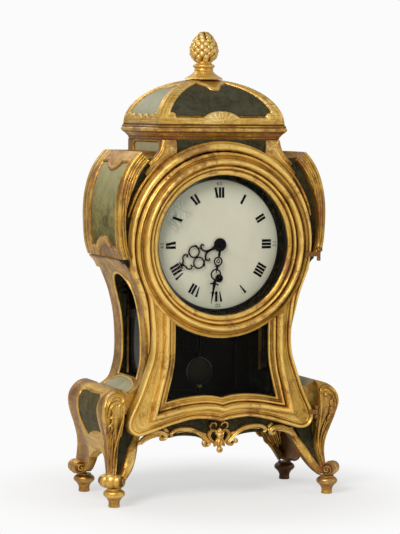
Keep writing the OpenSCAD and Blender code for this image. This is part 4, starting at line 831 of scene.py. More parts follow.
def ridge(shell, line, wide, high, face, vein=0.0, across=9, taper=0.35, tone=0.75):
    """Carved ridge on a face. Its section is half an oval, wide times a sine of the way along to the
    power taper, with a groove exp(-(u/0.25)^2) down its middle when vein is set."""
    points, normal = face(np.asarray(line, float))
    s = np.linspace(0, 1, len(points))
    swell = np.clip(np.sin(np.pi * np.clip(s, 0.02, 0.98)), 0, 1)[:, None] ** taper
    side = unit(np.cross(np.gradient(points, axis=0), normal))
    u = np.linspace(-1, 1, across)[None, :]
    arch = np.sqrt(np.clip(1 - u * u, 0, 1)) - vein * np.exp(-((u / 0.25) ** 2))
    top = points[:, None] + side[:, None] * (wide * swell * u)[..., None]
    top = top + normal[:, None] * (high * swell * arch)[..., None]
    under = points[:, None] + side[:, None] * (wide * swell * np.array([[0.9, -0.9]]))[..., None]
    under = under - normal[:, None] * 0.8
    # Tones paint a highlight on the crown, shade on the flanks and beneath
    shades = np.concatenate([tone * (2.2 * arch - 1.2) + 0 * s[:, None], np.full((len(s), 2), -0.9)], 1)
    shell.grid(np.concatenate([top, under], 1), around=True, caps=True, tone=shades)


def lathe(shell, line, place=(0, 0, 0), n=48, axes=None, tone=None):
    """Surface of revolution: line gives radius and height, axes the three directions it is turned to."""
    line = np.asarray(line, float)
    a = np.linspace(0, 2 * np.pi, n, endpoint=False)[None, :]
    r, h = line[:, :1], line[:, 1:]
    local = xyz(r * np.cos(a), r * np.sin(a), h)
    if axes is not None:
        local = local @ np.asarray(axes, float)
    # Without a given tone: painted highlight where the radius stands out, painted shade where it is sunk
    if tone is None:
        wide = np.convolve(np.pad(line[:, 0], 3, "edge"), np.ones(7) / 7, "valid")
        tone = np.clip((r - wide[:, None]) * 1.6, -1, 1)
    shell.grid(local + np.asarray(place, float), around=True, caps=True, tone=tone, turned=True)


def wall(y, out=-1.0, sx=1):
    """A face that looks along Y, for ridges given in X and Z. y is its depth, or a function of X and Z."""

    def face(line):
        depth = y(line[:, 0], line[:, 1]) if callable(y) else y
        return xyz(sx * line[:, 0], depth, line[:, 1]), np.tile([0.0, out, 0.0], (len(line), 1))

    return face


def carved(shell, points, steps, sx, wide, high, face, vein=0.0, across=9, taper=0.35, tone=0.75):
    """A ridge along a smooth curve, drawn on the right and turned over for the left where sx is -1."""
    ridge(shell, smooth(points, steps) * [sx, 1], wide, high, face, vein, across, taper, tone)


# Legs: the same lines as the solids, worked out with more steps

KNEE_X, ANKLE_X, KNEE_Y, ANKLE_Y = 158.5, 144.5, 63.0, 45.0
KNEE_Z, ANKLE_Z, TOE_Z, ROLL_W, ROLL_D, ROLL_H, KICK = 118.0, 60.0, 32.2, 24.0, 16.0, 23.0, 4.0
FOOT_H, FOOT = 23.0, ((143.0, -60.0), (139.0, 57.0))
FOOT_LINE = smooth(
    [(6.4, 0.0), (7.0, 1.2), (6.7, 6), (8.9, 10.5), (12.9, 14.6), (12.9, 18.0), (10.6, 20.6), (8.6, 21.6),
     (8.8, 22.9)], 5
)
BRACE_TOP, POST_X, BACK_Y = 83.2, 131.0, 72.0
POST_IN = smooth([(137, FOOT_H + 8), (136.3, 40), (134, 52), (133.2, 68), (132.6, BRACE_TOP)], 9)
REAR_BRACE = (
    smooth([(135, FOOT_H), (123, 41), (109, 61), (97, 76), (90, BRACE_TOP)], 9),
    smooth([(137, FOOT_H + 8), (131, 46), (121, 64), (112, 76), (106, BRACE_TOP)], 9),
    np.array([(BACK_Y, 0.0), (BACK_Y, 200)]), np.array([(BACK_Y - 5, 0.0), (BACK_Y - 5, 200)]),
)
FRONT_BRACE = (
    smooth([(134, FOOT_H), (127, 29), (117.6, 40), (111.7, 50), (107, 60), (103, 70), (97.5, 82), (94, 100)], 6),
    smooth([(137, FOOT_H + 8), (128.2, 45), (123.5, 55), (118.4, 65), (113, 75), (108.5, 86), (106, 100)], 6),
    smooth([(62, FOOT_H), (57.5, 30), (54.5, 40), (50, 51), (44, 61), (38.5, 70), (34.2, 79), (34.2, 101)], 4),
    smooth([(52, FOOT_H), (48, 36), (42.5, 49), (39, 60), (37, 72), (36.5, 84)], 4),
)
FRONT_EDGE = smooth(
    [(52, FOOT_H), (43.5, 32), (37, 43), (33, 48), (29, 56), (29.5, 67), (36.5, 82), (40, 92), (41.5, 104),
     (42.5, 118), (43, 138), (43, 142)], 6
)
REAR_EDGE = smooth(
    [(49, FOOT_H), (34, 30), (25.5, 38), (21.5, 46), (24, 57), (34, 70), (35, 86), (34, 104), (33, 124),
     (34, 138), (34, 142)], 6
)


def leg_stations():
    """X, Y and Z down the corner of a front leg: a quarter oval, an easing curve, then the kick."""
    a = np.radians(np.linspace(90, 0, 13))
    t, k = np.linspace(0, 1, 31)[1:], np.linspace(0, 1, 9)[1:]
    roll = [KNEE_X - ROLL_W * (1 - np.cos(a)), KNEE_Y - ROLL_D * (1 - np.cos(a)), KNEE_Z + ROLL_H * np.sin(a)]
    down = [mix(KNEE_X, ANKLE_X, ease(t)), mix(KNEE_Y, ANKLE_Y, ease(t)), mix(KNEE_Z, ANKLE_Z, t)]
    lift = 1 - np.cos(k * np.pi / 2)
    end = [ANKLE_X + KICK * lift, ANKLE_Y + 2 * KICK * lift, mix(ANKLE_Z, TOE_Z - 4, k)]
    return np.concatenate([roll, down, end], 1)


STATIONS = leg_stations()


def leg_front_y(z):
    order = np.argsort(STATIONS[2])
    return np.interp(z, STATIONS[2][order], STATIONS[1][order])


BAND_STEPS = 36


def leg(shell, web, sx, rear):
    """Post and side of a leg as one L-shaped section carried down its corner, its brace and its web.
    Across the front the hollow is 1.7 sin^2(2 pi v) deep, across the side 1.1 sin(pi t)^0.7."""
    x, c, z = STATIONS
    c = np.full(len(z), BACK_Y) if rear else c
    edge_line = REAR_EDGE if rear else FRONT_EDGE
    edge = np.minimum(np.interp(z, edge_line[:, 1], edge_line[:, 0]), c - 2)
    post = np.where(z > BRACE_TOP, POST_X, np.interp(z, POST_IN[:, 1], POST_IN[:, 0]))
    r = np.minimum(9.0 if rear else 5.0, 0.42 * np.minimum(x - post, c - edge))
    t = np.linspace(0, 1, 16)[None, :]
    hollow = 1.1 * np.sin(np.pi * t) ** 0.7 * np.clip((c - edge) / 25, 0, 1)[:, None]
    side_x = x[:, None] - hollow * np.where(z < 122, 1, 0.2)[:, None]
    side_y = mix(edge[:, None], (c - r)[:, None], t)
    a = np.radians(np.linspace(0, 90, 7))[None, 1:-1]
    turn_x = (x - r)[:, None] + r[:, None] * np.cos(a)
    turn_y = (c - r)[:, None] + r[:, None] * np.sin(a)
    v = np.linspace(0, 1, 26)[None, :]
    carve = 1.7 * np.sin(2 * np.pi * v) ** 2 * np.clip((x - post) / 12, 0, 1)[:, None]
    carve = carve * np.interp(z, [30, 60, 95, 112, 125], [0.6, 1, 1, 0.4, 0.2])[:, None]
    front_x = mix((x - r)[:, None], post[:, None], v)
    front_y = c[:, None] - carve
    inner_x = np.where(x - 11 > post, x - 11, post + 0.01)
    back = np.stack([post, inner_x, inner_x], 1)
    back_y = np.stack([c - 9, c - 9, edge], 1)
    px = np.concatenate([side_x, turn_x, front_x, back], 1)
    py = np.concatenate([side_y, turn_y, front_y, back_y], 1)
    # Tones paint shade in the hollows and behind, highlight on the rounded corner
    side_tone = 0.35 - 0.9 * np.sin(np.pi * t) + 0 * hollow
    tones = [side_tone, np.full(turn_x.shape, 0.9), 0.55 - carve * 0.9, np.full(back.shape, -0.9)]
    out = 1.0 if rear else -1.0
    shell.grid(xyz(sx * px, out * py, z[:, None]), around=True, caps=True, tone=np.concatenate(tones, 1))

    def band(target, low, high, front, lift, depth, tone, across):
        low, high = resample(low, BAND_STEPS), resample(high, BAND_STEPS)
        w = np.linspace(0, 1, across)[None, :, None]
        flat = low[:, None] * (1 - w) + high[:, None] * w
        face = np.interp(flat[..., 1], front[:, 1], front[:, 0])
        y = face - lift(w[..., 0])
        p = xyz(sx * flat[..., 0], out * y, flat[..., 1])
        q = p[:, [-1, 0]]
        q[..., 1] = out * (face[:, [-1, 0]] - depth)
        shades = np.concatenate([tone(w[..., 0]) + 0 * y, np.full((BAND_STEPS, 2), -0.9)], 1)
        target.grid(np.concatenate([p, q], 1), around=True, caps=True, tone=shades)

    def round_top(w):
        return 3.4 * (1 - np.sqrt(np.clip(1 - (2 * w - 1) ** 2, 0, 1)))

    def level(w):
        return 0 * w

    low, high, front, web_front = REAR_BRACE if rear else FRONT_BRACE
    # The brace has a painted highlight along its crown
    band(shell, low, high, front, round_top, 11, lambda w: 0.9 - 1.7 * (2 * w - 1) ** 2, 15)
    inside, inner_post = (line[line[:, 1] < BRACE_TOP - 2] for line in (high, POST_IN))
    band(web, inside, inner_post, web_front, level, 8 if rear else 5, level, 5)


# Lines of the acanthus on a front knee, with half width and height of each
KNEE_LOBES = (
    ([(154, 106), (154.8, 117), (151.5, 128), (144.5, 134.5), (137, 135), (132.6, 130.8), (135, 127.2), (138.4, 129)],
     2.5, 3.2),
    ([(151.2, 104), (151.6, 115), (148, 124), (141.5, 128), (137.4, 125.4), (139.4, 122.8)], 2.1, 2.8),
    ([(148.8, 121), (145.6, 116), (147.4, 110.5), (151, 108)], 1.8, 2.4),
    ([(149.6, 112), (145.8, 106), (147.6, 100.5), (151.4, 98)], 1.8, 2.4),
    ([(149.4, 102), (145.4, 96), (146.8, 90.5), (150.2, 88)], 1.7, 2.2),
    ([(148.4, 93), (144.6, 87), (145.6, 81.5), (148.4, 79)], 1.5, 2.0),
)
KNEE_LEAF = [(153.6, 106), (150.4, 92), (147.4, 78), (144.8, 64), (143.8, 50), (145, 37)]
KNEE_REED = [(133, 124), (132.8, 110), (134.4, 94), (136, 78), (137.6, 62), (139.6, 46)]
KNEE_VEIN = [(142.6, 92), (141.4, 80), (140.8, 66), (141.4, 52)]
SOLE = [(124.5, 45), (129, 36.5), (134.5, 30.4), (141, 27.6), (147.5, 27.2), (153.5, 29.6)]
REAR_LEAVES = (
    ([(93, 81), (104, 69), (115, 54), (127, 37)], 4.6),
    ([(103, 82), (113, 69), (122, 55), (130, 40)], 4.0),
    ([(114, 82), (122, 70), (128, 56), (133, 41)], 3.6),
    ([(126, 80), (131, 68), (134, 55), (136, 41)], 2.6),
    ([(98, 74), (100, 64), (106, 58), (112, 60), (112, 66), (107, 67)], 2.2),
    ([(112, 61), (112, 52), (118, 47), (123, 50), (121, 55)], 2.0),
    ([(121, 77), (127, 76), (130, 70), (126, 65), (121, 68)], 2.2),
)


def knee_carving(shell, sx):
    """Acanthus on a front knee: two curling lobes, four small ones inside, and a leaf down to the ankle."""
    face = wall(lambda x, z: 0.3 - leg_front_y(z), sx=sx)
    for line, wide, high in KNEE_LOBES:
        carved(shell, line, 7, 1, wide, high, face, 0.35, 13, 0.45, 1.0)
    carved(shell, KNEE_LEAF, 9, 1, 2.3, 2.2, face, 0.5, 13)
    carved(shell, KNEE_REED, 9, 1, 1.5, 2.0, face, taper=0.25)
    carved(shell, KNEE_VEIN, 9, 1, 1.1, 1.3, face)


def sole(shell, sx, rear):
    """The brace carried on under the scroll of the toe: a flat curl from the end of the brace to the roll."""

    def depth(x, z):
        way = (x - 126) / 24
        return 57.5 - 2.0 * way if rear else -(51.5 + 9.5 * way)

    carved(shell, SOLE, 8, 1, 3.8, 5.0, wall(depth, 1.0 if rear else -1.0, sx), 0.15, 13, 0.25)


def toe(shell, place, turn):
    """Scroll toe: a roll of three lobes whose ends carry a spiral. Its radius along the axis is the
    largest of three circles."""
    out, end_r, mid_r = 8.1, 8.45, 9.2
    u = np.linspace(-out - end_r, out + end_r, 67)
    lobes = [np.sqrt(np.clip(r * r - (u - c) ** 2, 0, None)) for c, r in ((0, mid_r), (-out, end_r), (out, end_r))]
    radius = np.max(lobes, 0)
    a = math.radians(turn)
    along = np.array([math.cos(a), math.sin(a), 0])
    across = np.array([-math.sin(a), math.cos(a), 0])
    axes = [across, [0, 0, 1], along]
    # Tone paints highlight on the lobes and shade in the necks between them
    tone = np.clip((radius - 7.6) / 1.2, -1.2, 0.8)[:, None]
    lathe(shell, np.stack([radius, u], 1), place, 36, axes, tone=tone)
    for end in (-1, 1):
        w = np.linspace(0.3, 11.5, 40)
        rho = 6.2 * w / 11.5

        def face(line):
            points = line[:, :1] * across + line[:, 1:] * np.array([0, 0, 1.0])
            drop = np.sqrt(np.clip(end_r**2 - (line**2).sum(1), 0, None))
            points = points + ((out + drop) * end)[:, None] * along + np.asarray(place, float)
            return points, np.tile(along * end, (len(line), 1))

        ridge(shell, np.stack([rho * np.cos(w), rho * np.sin(w)], 1), 1.0, 0.9, face, across=5)


class CLOCK_OT_legs(bpy.types.Operator):
    """Four cabriole legs with carved knees, braces, scroll toes and turned feet"""

    bl_idname = "clock.legs"
    bl_label = "Legs and feet"

    def execute(self, context):
        for sx, hand in HANDS:
            for rear, end in ((False, "front"), (True, "rear")):
                shell, web = Shell(), Shell()
                leg(shell, web, sx, rear)
                if rear:
                    leaf = Shell()
                    for line, wide in REAR_LEAVES:
                        carved(leaf, line, 7, sx, wide, 3.6, wall(BACK_Y - 11), 0.45, 13)
                    leaf.build(f"leg_rear_{hand}_leaf", "brown_gilding")
                else:
                    knee_carving(shell, sx)
                    # A plate behind the corner of the door carries the web on upwards
                    x, y = np.linspace(111, 132.5, 9)[:, None], np.linspace(-36.5, -30.5, 5)[None, :]
                    upper = xyz(sx * x, y, 101.0)
                    slab(web, upper - [0, 0, 21], upper)
                toe(
                    shell, (sx * (149 if rear else 147), 57.0 if rear else -62.5, TOE_Z),
                    90 if rear else (45 if sx > 0 else 135),
                )
                sole(shell, sx, rear)
                node = f"leg_{end}_{hand}"
                # The right rear leg, away from the light, takes the darkest gilding as painted shade
                finish = "shaded_gilding" if sx > 0 and rear else "leg_gilding"
                shell.build(node + "_carved", finish, node, angle=48)
                web.build(node + "_web", "night_green", slot="green_paint", angle=35)
        feet = Shell()
        line = np.vstack([[[0.0, 0.0]], FOOT_LINE, [[0.0, FOOT_H]]])
        for sx in (1, -1):
            for x, y in FOOT:
                # The right rear foot is painted dark as shade
                lathe(feet, line, (sx * x, y, 0), tone=-1.6 if sx > 0 and y > 0 else None)
        feet.build("feet_turned", "tan_gilding", "feet", merge=0.01)
        return {"FINISHED"}


# Apron


APRON_SCROLL = [
    (21, 69.5), (17.5, 66.5), (13, 69), (17, 74), (25, 81.5), (36, 87), (48, 88.6), (58, 87.5), (64, 83), (61, 79.5)
]
APRON_LOOP = [(3, 84), (10, 84.5), (13.5, 79), (10, 73), (4, 68)]
BRACE_CURL = [(107, 72), (101, 77.5), (93, 82.5), (84, 85.5), (75.5, 85), (70.5, 81), (73, 77.5), (78, 79)]
BRACE_CREST = [(103, 72), (97, 77), (88, 80.5), (80, 81)]
BRACE_Y = -44.5
# Start of each small leaf, and how far it goes sideways and up
APRON_LEAVES = ((66, 82, 9, 2), (69, 79, 9, -2), (67, 85, 7, 5), (75, 82, 8, 1))
# Direction, length and half width of the leaves of the middle
PALMETTE = ((90, 10, 4.4), (128, 9.5, 3.4), (52, 9.5, 3.4), (-90, 16, 4.0), (-62, 15, 3.0), (-118, 15, 3.0))


class CLOCK_OT_apron(bpy.types.Operator):
    """Carved scrolls, leaves and cartouche on the front apron"""

    bl_idname = "clock.apron"
    bl_label = "Apron carving"

    def execute(self, context):
        shell = Shell()
        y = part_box("apron_carving")[1].y / MM
        face, proud = wall(y), wall(y - 4)
        for sx in (1, -1):
            carved(shell, APRON_SCROLL, 7, sx, 3.3, 6.5, face, 0.22, 13, 0.3)
            carved(shell, [(30, 82.5), (44, 85.5), (57, 84)], 8, sx, 1.0, 3.4, face)
            for x, z, dx, dz in APRON_LEAVES:
                leaf = [(x, z), (x + dx * 0.5, z + dz * 0.7), (x + dx, z + dz)]
                carved(shell, leaf, 6, sx, 2.7, 4.2, face, 0.4)
            lathe(shell, ball(3.1), (sx * 21.5, y - 6, 71.2), 16, BALL_AXES)
            loop = arc((7.5 * sx, 90.5), 4.2, 200 if sx > 0 else -20, -60 if sx > 0 else 240, 16)
            ridge(shell, loop, 1.7, 5.0, face)
            carved(shell, APRON_LOOP, 6, sx, 2.5, 6.0, face, 0.3)
            carved(shell, [(16, 78), (20, 81.5), (24, 80)], 6, sx, 1.6, 3.6, face)
        for sx in (1, -1):
            carved(shell, BRACE_CURL, 7, sx, 3.4, 5.0, wall(BRACE_Y), 0.25, 13, 0.3)
            carved(shell, BRACE_CREST, 6, sx, 2.0, 3.0, wall(BRACE_Y))
        for angle, long, wide in PALMETTE:
            a = math.radians(angle)
            way = np.linspace(0, long, 12)[:, None] * [[math.cos(a), math.sin(a)]] + [[0, 78.0]]
            ridge(shell, way, wide, 4.5, proud, 0.45, 11, 0.6)
        lathe(shell, ball(4.4), (0, y - 7, 79), 16, BALL_AXES)
        lathe(shell, ball(4.0), (0, y - 5.5, 61.0), 16, BALL_AXES)
        shell.build("apron_scrolls", "gilding", "apron_carving", merge=0.005)
        return {"FINISHED"}


BALL_AXES = [[1, 0, 0], [0, 0, 1], [0, -1, 0]]


def ball(r):
    a = np.radians(np.linspace(-90, 90, 13))
    return np.stack([r * np.cos(a), r * np.sin(a)], 1)


# Hood, shoulders, cornice and dome

WAIST = smooth(
    [(118, 135), (107, 143), (102, 155), (98.5, 172), (98, 196), (100, 223), (105, 247), (111, 265), (121.5, 288),
     (128.5, 296)], 8
)
HOOD_R, HOOD_Z, FRONT_Y = 122.5, 319.5, -44.0
# Share of the hood's width that its fillet takes beside the door, its height at the foot and what it gains above
HOOD_FILLET, HOOD_LOW, HOOD_GAIN = 0.16, 5.0, 7.2


class CLOCK_OT_hood(bpy.types.Operator):
    """Half-round moulding that runs up both sides of the door and over it"""

    bl_idname = "clock.hood"
    bl_label = "Hood moulding"

    def execute(self, context):
        low, ring_side = door_outline()
        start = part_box("hood_moulding")[0].z / MM + 0.5
        side = WAIST[(WAIST[:, 1] > start) & (WAIST[:, 1] < 284)]
        outer = resample(np.vstack([[[98.0, start]], side, arc((0, HOOD_Z), HOOD_R, -12, 90, 60)]), 150)
        outer = np.vstack([outer, mirrored(outer)[1:]])
        inner = np.vstack([low, ring_side[1:]])
        door = resample(np.vstack([inner, mirrored(inner)[1:]]), 1600)
        inside = door[np.argmin(((outer[:, None] - door[None]) ** 2).sum(-1), 1)]
        inside = inside + unit(outer - inside) * 1.3
        rise = ease(np.clip((outer[:, 1] - start) / 70, 0, 1))
        spread = 0.1 + 0.9 * ease(np.clip((outer[:, 1] - start) / 55, 0, 1))
        outer = inside + (outer - inside) * spread[:, None]
        v = np.linspace(0, 1, 21)
        t = np.clip((v - HOOD_FILLET) / (1 - HOOD_FILLET), 0, 1)
        crown = np.where(v < HOOD_FILLET, 0.35, 0.42 + 0.58 * np.sqrt(np.clip(1 - (2 * t - 1) ** 2, 0, 1)))
        crown[0], crown[-1] = 0.2, 0.25
        # Tone paints a highlight along the crown and shade at the edges
        tone = np.where(v < HOOD_FILLET, -0.3, 1.1 * crown - 0.25)
        tone[[0, -1]] = -1
        high = (HOOD_LOW + HOOD_GAIN * rise)[:, None] * crown[None]
        flat = outer[:, None, :] * (1 - v[None, :, None]) + inside[:, None, :] * v[None, :, None]
        face = xyz(flat[..., 0], FRONT_Y - high, flat[..., 1])
        back = face[:, [-1, 0]]
        back[..., 1] = FRONT_Y + 0.2
        shell = Shell()
        shell.grid(np.concatenate([face, back], 1), around=True, caps=True, tone=np.r_[tone, -0.8, -0.8])
        shell.build("hood_round", "rich_gilding", "hood_moulding")
        return {"FINISHED"}


SHOULDER = resample(
    smooth(
        [(131.5, 299), (136.5, 317), (138.5, 347), (137.5, 370), (133.5, 390), (127.5, 406), (119.5, 419),
         (110.5, 429)], 16
    ), 130
)
SHOULDER_Y, SIDE_T, SHOULDER_FOOT = -57.0, 9.0, 421.0
# Where the reeds begin behind the field, and their pitch
REEDS_Y, REED = 52, 10
# Y from and to, Z from and to of the sunk field, then Y, Z and radius of the discs that cut its ends
FIELD = (-44.0, 42.0, 313.0, 416.0)
LOW_ROUND, HIGH_ROUND = (0.0, 291.0, 34.0), (0.0, 440.0, 34.0)
PAINT_DEPTH, PAINT_BACK, PAINT_LAP = 1.9, 3.3, 1.5


def field_depth(y, z):
    """Signed distance into the sunk field of a shoulder, a rectangle less a disc at each end, and from the lower
    disc."""
    low, high = (np.hypot(y - disc[0], z - disc[1]) - disc[2] for disc in (LOW_ROUND, HIGH_ROUND))
    return np.min(np.broadcast_arrays(y - FIELD[0], FIELD[1] - y, z - FIELD[2], FIELD[3] - z, low, high), 0), low


def shoulder(shell, panel, sx):
    """Bowed side board: offsets from its line are reeds behind, a sunk field and a bead round it. A reed falls
    off by 1 - sqrt(1 - r^2) beside its crown, and the bead is exp(-((d + 2) / 1.5)^2) high."""
    tangent = unit(np.gradient(SHOULDER, axis=0))
    normal = np.stack([tangent[:, 1], -tangent[:, 0]], 1)
    z = SHOULDER[:, 1:]

    def under(depth, y):
        depth, y, _ = np.broadcast_arrays(depth, y, z)
        p = SHOULDER[:, None] - normal[:, None] * depth[..., None]
        return xyz(sx * p[..., 0], y, p[..., 1])

    y = np.linspace(BACK_Y, SHOULDER_Y + 3, 150)[None, :]
    d, low = field_depth(y, z)
    bead = np.exp(-(((d + 2.0) / 1.5) ** 2))
    off = -3.0 * ease(np.clip(d / 1.4, 0, 1)) + 0.9 * bead * (d < 0.5)
    # Tones paint shade in the field, cove and groove, and highlight on the bead and reeds
    tone = np.where(d > 0, -0.7, 0.15) + 0.6 * bead
    reed = np.abs((y - REEDS_Y) % REED - REED / 2) / (REED / 2)
    behind = y > REEDS_Y
    off = np.where(behind, -1.4 * (1 - np.sqrt(np.clip(1 - reed**2, 0, 1))), off)
    tone = np.where(behind, 0.7 - 1.5 * reed**2, tone)
    cove = np.where((low < -5) & ~behind, ease(np.clip((-low - 5) / 6, 0, 1)), 0)
    groove = np.exp(-(((y + 50.0) / 0.9) ** 2)) * (y < -40)
    off, tone = off - 1.6 * cove - 0.8 * groove, tone - 0.7 * cove - 0.8 * groove
    outer = under(-off, y)
    a = np.radians(np.linspace(0, 90, 6))[1:]
    turn = under(3 * (1 - np.cos(a)), SHOULDER_Y + 3 - 3 * np.sin(a))
    wide = SIDE_T + 7.0 * ease(np.clip((z - 335) / 75, 0, 1))
    v = 3.0 + (wide - 3.0) * np.linspace(0, 1, 26)[None, 1:]
    dip = 1.1 * (1 - np.abs(np.cos(np.pi * (v - 3) / 3.0)) ** 0.7)
    face = under(v, SHOULDER_Y + dip)
    inner = under(wide, np.array([[FRONT_Y, BACK_Y]]))
    tones = [tone, np.full(turn.shape[:2], 0.5), 0.4 - dip * 1.1, np.full(inner.shape[:2], -0.8)]
    shell.grid(np.concatenate([outer, turn, face, inner], 1), around=True, caps=True, tone=np.concatenate(tones, 1))
    rows = (z[:, 0] > FIELD[2] - 8) & (z[:, 0] < FIELD[3] + 5)
    y = np.linspace(FIELD[1] + PAINT_LAP, FIELD[0] - PAINT_LAP, 40)[None, :]
    paint = np.concatenate([under(PAINT_DEPTH, y), under(PAINT_BACK, y[:, [-1, 0]])], 1)[rows]
    # Painted light and shade: the field darker at its foot and paler at its top
    light = np.interp(paint[..., 2], [FIELD[2], 350, FIELD[3]], [-0.7, 0.1, 1.0])
    panel.grid(paint, around=True, caps=True, tone=light)


def slab(shell, lower, upper, tone=0.0):
    """Closed body between two grids of points, one above the other."""
    shell.grid(np.concatenate([upper, lower[:, ::-1]], 1), around=True, caps=True, tone=tone)


class CLOCK_OT_shoulders(bpy.types.Operator):
    """Bulging shoulders with reeded edges, sunk marbled fields and dished tops"""

    bl_idname = "clock.shoulders"
    bl_label = "Shoulders"

    def execute(self, context):
        panel = Shell()
        for sx, hand in HANDS:
            shell = Shell()
            shoulder(shell, panel, sx)
            # Top beside the neck, dished in front
            x = np.array([78.0, 84, 92, 100, 108.5])[:, None]
            y = np.r_[np.linspace(FRONT_Y, -30, 14), np.linspace(-28, BACK_Y, 6)][None, :]
            top = np.where(y < -30.4, 453 - np.sqrt(np.clip(31**2 - (y + 50) ** 2, 0, None)), 429.0)
            upper = xyz(sx * x, y, top)
            slab(shell, upper * [1, 1, 0] + [0, 0, SHOULDER_FOOT], upper, 0.1)
            # Fillet under the foot of the board
            upper = xyz(sx * np.array([[122.5], [130.8]]), np.array([[SHOULDER_Y + 1, 62.0]]), 304.0)
            slab(shell, upper - [0, 0, 5], upper, -0.3)
            fillet = arc((0, HOOD_Z), HOOD_R + 3.2, 14, 56, 40) * [sx, 1]
            ridge(shell, fillet, 2.6, 5.5, wall(FRONT_Y), taper=0.15, tone=0.5)
            shell.build(f"shoulder_{hand}_reeded", "worn_gilding", f"shoulder_{hand}")
        panel.build("shoulder_fields", "green", "shoulder_panels", slot="green_paint", angle=35)
        return {"FINISHED"}


NECK_X, NECK_LOW, NECK_TOP, NECK_T = 78.0, 414.0, 443.2, 8.0
# Middle and half size of the field in Y, the same in Z, and the radius of its corners
NECK_FIELD = (10.0, 42.0, 432.0, 8.6, 6.5)
BRACKET = [(76.5, 443), (76.8, 437), (79.5, 429), (86, 420.5), (95, 413)]
SPANDREL = smooth([(60, 443), (68, 443), (76.5, 442), (78.5, 433), (84, 423.5), (92, 415), (101, 403)], 8)


class CLOCK_OT_neck(bpy.types.Operator):
    """Neck between shoulders and cornice: a sunk green field with round ends in a gilt bead, and brackets in front"""

    bl_idname = "clock.neck"
    bl_label = "Neck"

    def execute(self, context):
        shell, fields = Shell(), Shell()
        y = np.linspace(BACK_Y, FRONT_Y, 120)[None, :]
        z = np.linspace(NECK_LOW, NECK_TOP, 40)[:, None]
        mid_y, half_y, mid_z, half_z, r = NECK_FIELD
        qy, qz = np.abs(y - mid_y) - half_y + r, np.abs(z - mid_z) - half_z + r
        d = r - np.hypot(np.maximum(qy, 0), np.maximum(qz, 0)) - np.minimum(np.maximum(qy, qz), 0)
        bead = np.exp(-(((d + 1.7) / 1.1) ** 2))
        off = -2.0 * ease(np.clip(d, 0, 1)) + 1.1 * bead - 0.8
        # Tone paints shade in the field and highlight on the bead
        tone = np.where(d > 0, -0.6, -0.15) + bead
        shades = np.concatenate([tone, np.full((len(z), 2), -0.9)], 1)
        field_y = np.linspace(mid_y + half_y, mid_y - half_y, 30)[None, :]
        field_z = np.linspace(mid_z - half_z, mid_z + half_z, 12)[:, None]
        inner = resample(arc((0, HOOD_Z), HOOD_R - 2, 60.5, 38, 40), 40)[:, None]
        outer = resample(SPANDREL, 40)[:, None]
        w = np.linspace(0, 1, 14)[None, :, None]
        swell = 1.0 + 2.6 * np.sin(np.pi * w[..., 0]) ** 0.8
        for sx in (1, -1):
            face = xyz(sx * (NECK_X + off), y, z)
            back = face[:, [-1, 0]]
            back[..., 0] = sx * (NECK_X - NECK_T)
            shell.grid(np.concatenate([face, back], 1), around=True, caps=True, tone=shades)
            top = xyz(sx * (NECK_X - 2.2), field_y, field_z)
            # The fields' tone of 0.5 paints them paler, as painted light
            slab(fields, top - [sx * 2, 0, 0], top, 0.5)
            carved(shell, BRACKET, 8, sx, 3.6, 6.0, wall(FRONT_Y + 1), 0.2, 13, 0.12, 0.7)
            flat = (inner * (1 - w) + outer * w) * [sx, 1]
            plate = xyz(flat[..., 0], FRONT_Y - swell, flat[..., 1])
            behind = plate * [1, 0, 1] + [0, FRONT_Y + 0.5, 0]
            slab(shell, behind, plate, np.concatenate([swell / 3.6 + 0.1, swell * 0 - 0.9], 1))
        x = np.linspace(-NECK_X + NECK_T, NECK_X - NECK_T, 3)[:, None]
        upper = xyz(x, np.array([[62.0, 72.0]]), NECK_TOP)
        slab(shell, upper - [0, 0, NECK_TOP - SHOULDER_FOOT], upper, -0.4)
        shell.build("neck_framed", "worn_gilding", "neck")
        fields.build("neck_fields", "sage", "neck_panels", slot="green_paint", angle=35)
        return {"FINISHED"}


def waist_wall(sx):
    """The waisted side wall, for ridges given in Y and Z."""

    def face(line):
        x = np.interp(line[:, 1], WAIST[:, 1], WAIST[:, 0])
        lean = np.interp(line[:, 1], WAIST[:, 1], np.gradient(WAIST[:, 0]) / np.gradient(WAIST[:, 1]))
        return xyz(sx * (x - 0.2), line[:, 0], line[:, 1]), unit(xyz(sx, 0 * lean, -lean))

    return face


# How far the opening of a side window lies inside its pane, and its bead outside the opening
PANE_LAP, BEAD_OUT = 3.8, 2.2
# Middle and half width in Y, foot and height in Z of the half discs over the ledges
DISC_Y, DISC_R, DISC_Z, DISC_H = 8.0, 42.0, 136.0, 13.0


